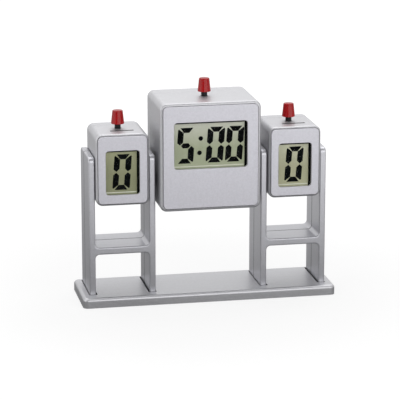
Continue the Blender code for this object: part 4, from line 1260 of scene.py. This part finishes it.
def split_tower(side, half):
    low, high = span(f"{side}_tower_front")[0], span(f"{side}_tower_rear")[1]
    block = add_block(f"{side}_tower_{half}_half", low, high)

    def end_of_top(a, b):
        return at_level("Z", high.z)(a, b) and abs(a.y - b.y) < NEAR
    soften(block, end_of_top, TOWER_END_ROUND, 8)
    for bottom, top in ((low.z - FAR_PAST, CROSSBAR[0]), (CROSSBAR[1], high.z + FAR_PAST)):
        cut(block, slab("window", (low.x + UPRIGHT, high.x - UPRIGHT, bottom, top), low.y - PAST,
                        high.y + PAST, WINDOW_FILLET, 6))
    make_active(block)
    edge = block.modifiers.new("soft edges", "BEVEL")
    edge.width = TOWER_EDGE * MM
    edge.segments = 4
    edge.limit_method = "ANGLE"
    edge.angle_limit = math.radians(60)
    bpy.ops.object.modifier_apply(modifier=edge.name)
    face = TOWER_SEAM + (-GAP / 2 if half == "front" else GAP / 2)
    enter_edit(block, "EDGE", "SELECT")
    bisect("Y", face, use_fill=True, clear_outer=half == "front", clear_inner=half == "rear")
    leave_edit()
    soften(block, at_level("Y", face), 2.5 * SEAM_CHAMFER, 1)
    return block, low, high


print("towers are split at y", TOWER_SEAM)

# %% [markdown]
# The pegs of the modules are clamped between the halves, so each half has half of every peg's hole.
# A dowel on the front half goes into a hole of the rear half and lines them up.

# %% Peg holes, dowels and the four halves
DOWEL_ABOVE = 11.0
DOWEL_RADIUS = 0.8
DOWEL_REACH = 4.0


def fit_tower(block, low, high, half, inner, outer):
    inward = math.copysign(1, outer - inner)
    depth = PEG_REACH + GAP
    holes = ((inner - PAST * inward, inner + depth * inward, CLOCK.peg_z),
             (inner + (UPRIGHT - depth) * inward, inner + (UPRIGHT + PAST) * inward, LEFT_COUNTER.peg_z),
             (outer - (UPRIGHT + PAST) * inward, outer - (UPRIGHT - depth) * inward, LEFT_COUNTER.peg_z))
    for start, end, z in holes:
        bore(block, (TOWER_SEAM, z), "X", PEG_RADIUS + GAP, start, end, 32)
    for x in (low.x + UPRIGHT / 2, high.x - UPRIGHT / 2):
        place = (x, CROSSBAR[1] + DOWEL_ABOVE)
        if half == "front":
            boss(block, place, "Y", DOWEL_RADIUS, TOWER_SEAM - 1, TOWER_SEAM + DOWEL_REACH, 24)
            bore(block, (x, (low.y + TOWER_SEAM) / 2), "Z", BORE_RADIUS, low.z - PAST,
                 low.z + BORE_DEPTH, 24)
        else:
            bore(block, place, "Y", DOWEL_RADIUS + GAP, TOWER_SEAM - PAST,
                 TOWER_SEAM + DOWEL_REACH + GAP, 24)


for side in ("left", "right"):
    for half in ("front", "rear"):
        block, low, high = split_tower(side, half)
        inner, outer = (low.x, high.x) if side == "right" else (high.x, low.x)
        fit_tower(block, low, high, half, inner, outer)
        finish_piece(block, TOWER_SILVER, [f"{side}_tower_{half}"])
        # The seam faces get the dark finish, a dark joint.
        paint_faces(block, lambda middle, normal: abs(middle.y - TOWER_SEAM) < GAP)
        report(block)

# %% [markdown]
# ## Base
# The base is a shallow box, open below, with round corners and a large round on its upper edge. Four slots
# take the feet of the towers. Each is a little wider than the foot, and its inside has painted shade, so the
# gap shows as a dark line.

# %% Base
BASE_CORNER = 3.0
BASE_EDGE = 2.0
SLOT_WALL = 1.2
SLOT_PLAY = (0.4, 0.8)
RIB_HALF = 0.6


def slot_edges():
    """Left and right edge of each slot; the wider gap is on the side of the tower's window."""
    edges = []
    for side in ("left", "right"):
        low, high = span(f"{side}_tower_front")
        for near, far, play in ((low.x, low.x + UPRIGHT, SLOT_PLAY),
                                (high.x - UPRIGHT, high.x, SLOT_PLAY[::-1])):
            edges.append((near - play[0], far + play[1]))
    return edges


def make_base():
    low, high = span("base_shell")
    base = add_block("base_plinth", low, high)
    soften(base, along("Z"), BASE_CORNER, 8)
    soften(base, at_level("Z", high.z), BASE_EDGE, 6)
    pick(base, faces=facing("Z", -1))
    inset(WALL)
    extrude("Z", high.z - low.z - WALL)
    leave_edit()
    under = span("base_cover")[1].z + GAP
    roof = high.z - WALL + LAP
    middle_y = (low.y + high.y) / 2
    weld(base, add_block("rib", (low.x + WALL - LAP, middle_y - RIB_HALF, under),
                         (high.x - WALL + LAP, middle_y + RIB_HALF, roof)))
    tower_front = span("left_tower_front")[0].y
    front, back = tower_front - SLOT_PLAY[0], span("left_tower_rear")[1].y + SLOT_PLAY[0]
    for left, right in slot_edges():
        weld(base, add_block("walls", (left - SLOT_WALL, front - SLOT_WALL, under),
                             (right + SLOT_WALL, back + SLOT_WALL, roof)))
        cut(base, add_block("slot", (left, front, under + 1.0), (right, back, high.z + PAST)))
        place = (round((left + right) / 2, 1), (tower_front + TOWER_SEAM) / 2)
        bore(base, place, "Z", BORE_RADIUS, under - 2, under + 2, 24)
    finish_piece(base, BASE_SILVER, ["base_shell"])
    # The inside of the base and the walls of its slots get the dark finish: painted shade.
    paint_faces(base, lambda middle, normal: middle.z < high.z - SHADE_MARGIN
               and low.x + BASE_EDGE < middle.x < high.x - BASE_EDGE
               and low.y + BASE_EDGE < middle.y < high.y - BASE_EDGE)
    return base


report(make_base())

# %% [markdown]
# Round rubber pads under the corners keep the base from sliding. Each has a soft edge and a shallow
# dish in its underside, as such pads have, so that only a ring touches the table.

# %% Rubber pads
PAD_ROUND = 0.2
PAD_DISH = ((1.2, 0.1),)


def make_pad(place):
    node = f"rubber_foot_{place}"
    low, high = span(node)
    pad = add_drum(f"rubber_pad_{place}", ((low.x + high.x) / 2, (low.y + high.y) / 2), "Z",
                   (high.x - low.x) / 2, low.z, high.z, 56)
    soften(pad, at_level("Z", low.z), PAD_ROUND, 3)
    step_faces(pad, facing("Z", -1, low.z), "Z", PAD_DISH)
    return finish_piece(pad, PAD_RUBBER, [node])


for place in ("left_front", "left_back", "right_front", "right_back"):
    report(make_pad(place))

# %% [markdown]
# ## Screws
# Cross-head screws hold the housings together from behind and the towers from below. One function
# makes them all: a head with a rounded edge, a cross cut into it and a shank.

# %% Screws
HEAD_RADIUS = 1.7
HEAD_HEIGHT = 0.9
HEAD_ROUND = 0.35
SHANK_RADIUS, SHANK_LAP = 0.9, 0.4
CROSS = ((1.0, 0.25), (0.25, 1.0))
CROSS_DEPTH = 0.5


def make_screw(node, name, axis):
    """The head is at the back for axis Y and at the bottom for axis Z."""
    low, high = span(node)
    middle = (low + high) / 2
    index = "XYZ".index(axis)
    centre = [middle[other] for other in range(3) if other != index]
    outward = 1 if axis == "Y" else -1
    end, tip = (high[index], low[index]) if axis == "Y" else (low[index], high[index])
    seat = end - outward * HEAD_HEIGHT
    screw = add_drum(name, centre, axis, HEAD_RADIUS, seat, end, 40)
    soften(screw, at_level(axis, end), HEAD_ROUND, 4)
    boss(screw, centre, axis, SHANK_RADIUS, seat + outward * SHANK_LAP, tip, 24)
    for long, short in CROSS:
        near = [centre[0] - long, centre[1] - short]
        far = [centre[0] + long, centre[1] + short]
        near.insert(index, end - outward * CROSS_DEPTH)
        far.insert(index, end + outward * PAST)
        cut(screw, add_block("cross", near, far))
    return finish_piece(screw, SCREW_STEEL, [node])


SCREWS = [("clock_case_screw_left", "clock_back_screw_left", "Y"),
          ("clock_case_screw_right", "clock_back_screw_right", "Y"),
          ("left_counter_case_screw_right", "left_counter_back_screw", "Y"),
          ("right_counter_case_screw_right", "right_counter_back_screw", "Y")]
SCREWS += [(f"tower_screw_{place}", f"base_screw_{place}", "Z")
           for place in ("left_outer", "left_inner", "right_inner", "right_outer")]
for screw in SCREWS:
    report(make_screw(*screw))

# %% [markdown]
# ## Solids that stay
# The parts inside the housings and the flat bottom cover have the right shape as they are, so they
# keep their solids and only get their finish.

# %% Finishes for the solids that stay
STAYING = {"base_cover": COVER_BLACK, "clock_connector_strip": PAD_RUBBER, "clock_buzzer": CONTACT_BRASS}
for module in MODULES:
    STAYING[f"{module.name}_circuit_board"] = BOARD_GREEN
    STAYING[f"{module.name}_switch"] = STEM_BLACK
    STAYING[f"{module.name}_battery_contact"] = CONTACT_BRASS
for node, material in STAYING.items():
    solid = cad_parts[node]
    solid.data.materials.clear()
    solid.data.materials.append(material)
print("solids that stay:", len(STAYING))

# %% [markdown]
# ## Floor and light
# The object stands on a white floor in front of white. The floor takes the object's shadow. For the
# camera and through glass it also glows a little, so that it meets the white background without more
# light on the object. The satin silver fronts and sides mirror the floor, which in the photo was shaded
# close to the object, so the floor's glow for mirrors rises with the distance.

# %% Floor
FLOOR_SIZE = 6.0
FLOOR_GLOW = 0.80
FLOOR_NEAR, FLOOR_FAR = 0.10, 0.45
# For mirrors the glow also changes from side to side: weaker on the left and stronger on the right, ahead and
# behind, and bright again far to the left. This paints lighter and darker reflections on the object's sides.
AHEAD = (("Y", -0.06, -0.32, 0.0, 1.0), ("X", -0.08, 0.04, 0.60, 1.14))
BEHIND = (("Y", -0.04, 0.40, 0.07, 0.75), ("X", -0.12, 0.0, 0.40, 1.35))
LEFT = ("X", -0.14, -0.34, 0.0, 0.8)


def seen_directly(rays):
    return calc("MAXIMUM", rays["Is Camera Ray"], rays["Is Transmission Ray"])


def floor_finish():
    material, tree, shader, place = new_finish("studio floor")
    set_inputs(shader, {"Base Color": ranged(noise(place, 6.0, 2.0), 0.0, 1.0, 0.19, 0.21),
                        "Roughness": 0.9, "Specular IOR Level": 0.0})
    rays = add_node(tree, "LightPath").outputs
    away = add_node(tree, "VectorMath", {0: place}, operation="LENGTH").outputs["Value"]
    rise = ranged(away, FLOOR_NEAR, FLOOR_FAR, FLOOR_GLOW)
    spot = add_node(tree, "SeparateXYZ", {"Vector": place}).outputs
    ahead, ahead_share, behind, behind_share, left = (
        ranged(spot[axis], *places) for axis, *places in (*AHEAD, *BEHIND, LEFT))
    # Painted reflections: the glow that mirrors see, by place on the floor.
    mirrored = calc("MAXIMUM", calc("MULTIPLY", ahead, ahead_share), calc("MULTIPLY", behind, behind_share))
    mirrored = calc("MULTIPLY", calc("MAXIMUM", mirrored, left), rays["Is Glossy Ray"])
    direct = calc("MULTIPLY", seen_directly(rays), rise)
    glow = add_node(tree, "Emission", {"Strength": calc("MAXIMUM", direct, mirrored)})
    both = add_node(tree, "AddShader", {0: shader.outputs[0], 1: glow.outputs[0]})
    set_inputs(tree.nodes["Material Output"], {"Surface": both.outputs[0]})
    return material


start_piece()
bpy.ops.mesh.primitive_plane_add(size=FLOOR_SIZE, location=ORIGIN)
floor = named("studio_floor")
floor.data.materials.append(floor_finish())
print("floor", FLOOR_SIZE, "m")

# %% [markdown]
# The world is white where it is seen, and gives only a little light of its own. Mirrors see the white
# backdrop behind the object and a darker room in front of it. The main light is a wide soft lamp overhead and
# a little behind, which makes the tops and their front edges the brightest surfaces. A wide low lamp in front
# on the right lifts the faces and puts one highlight on each round button, and a wide lamp on the left fills
# the left sides. The dark at the right inside of each window is partly this lamp's shade and partly a painted
# shadow on the display.

# %% World and lamps
WORLD_LIGHT = 0.30
ROOM_LIGHT = 0.25
ROOM_FROM, ROOM_TO = -0.6, 0.0


def light_world():
    world = bpy.data.worlds.new("studio")
    bpy.context.scene.world = world
    world.use_nodes = True
    tree = world.node_tree
    rays = add_node(tree, "LightPath").outputs
    way = add_node(tree, "TexCoord").outputs["Generated"]
    way = add_node(tree, "SeparateXYZ", {"Vector": way}).outputs["Y"]
    mirrored = calc("MULTIPLY", ranged(way, ROOM_FROM, ROOM_TO, ROOM_LIGHT), rays["Is Glossy Ray"])
    seen = calc("MAXIMUM", calc("MAXIMUM", seen_directly(rays), mirrored), WORLD_LIGHT)
    set_inputs(tree.nodes["Background"], {"Color": (1.0, 1.0, 1.0, 1.0), "Strength": seen})


def add_lamp(name, place, aim, width, height, power):
    data = bpy.data.lights.new(name, "AREA")
    data.shape = "RECTANGLE"
    data.size = width
    data.size_y = height
    data.energy = power
    add_aimed(name, data, place, Vector(aim) - Vector(place))


light_world()
add_lamp("main", (0.06, 0.24, 0.64), (0.0, 0.0, 0.06), 0.80, 0.80, 2.7)
add_lamp("front", (0.26, -0.73, 0.26), (0.0, 0.0, 0.08), 1.05, 0.70, 4.1)
add_lamp("side", (-0.80, -0.25, 0.40), (0.0, 0.0, 0.05), 1.10, 1.10, 3.2)
bpy.context.scene.view_settings.view_transform = "Standard"
print("world light", WORLD_LIGHT)
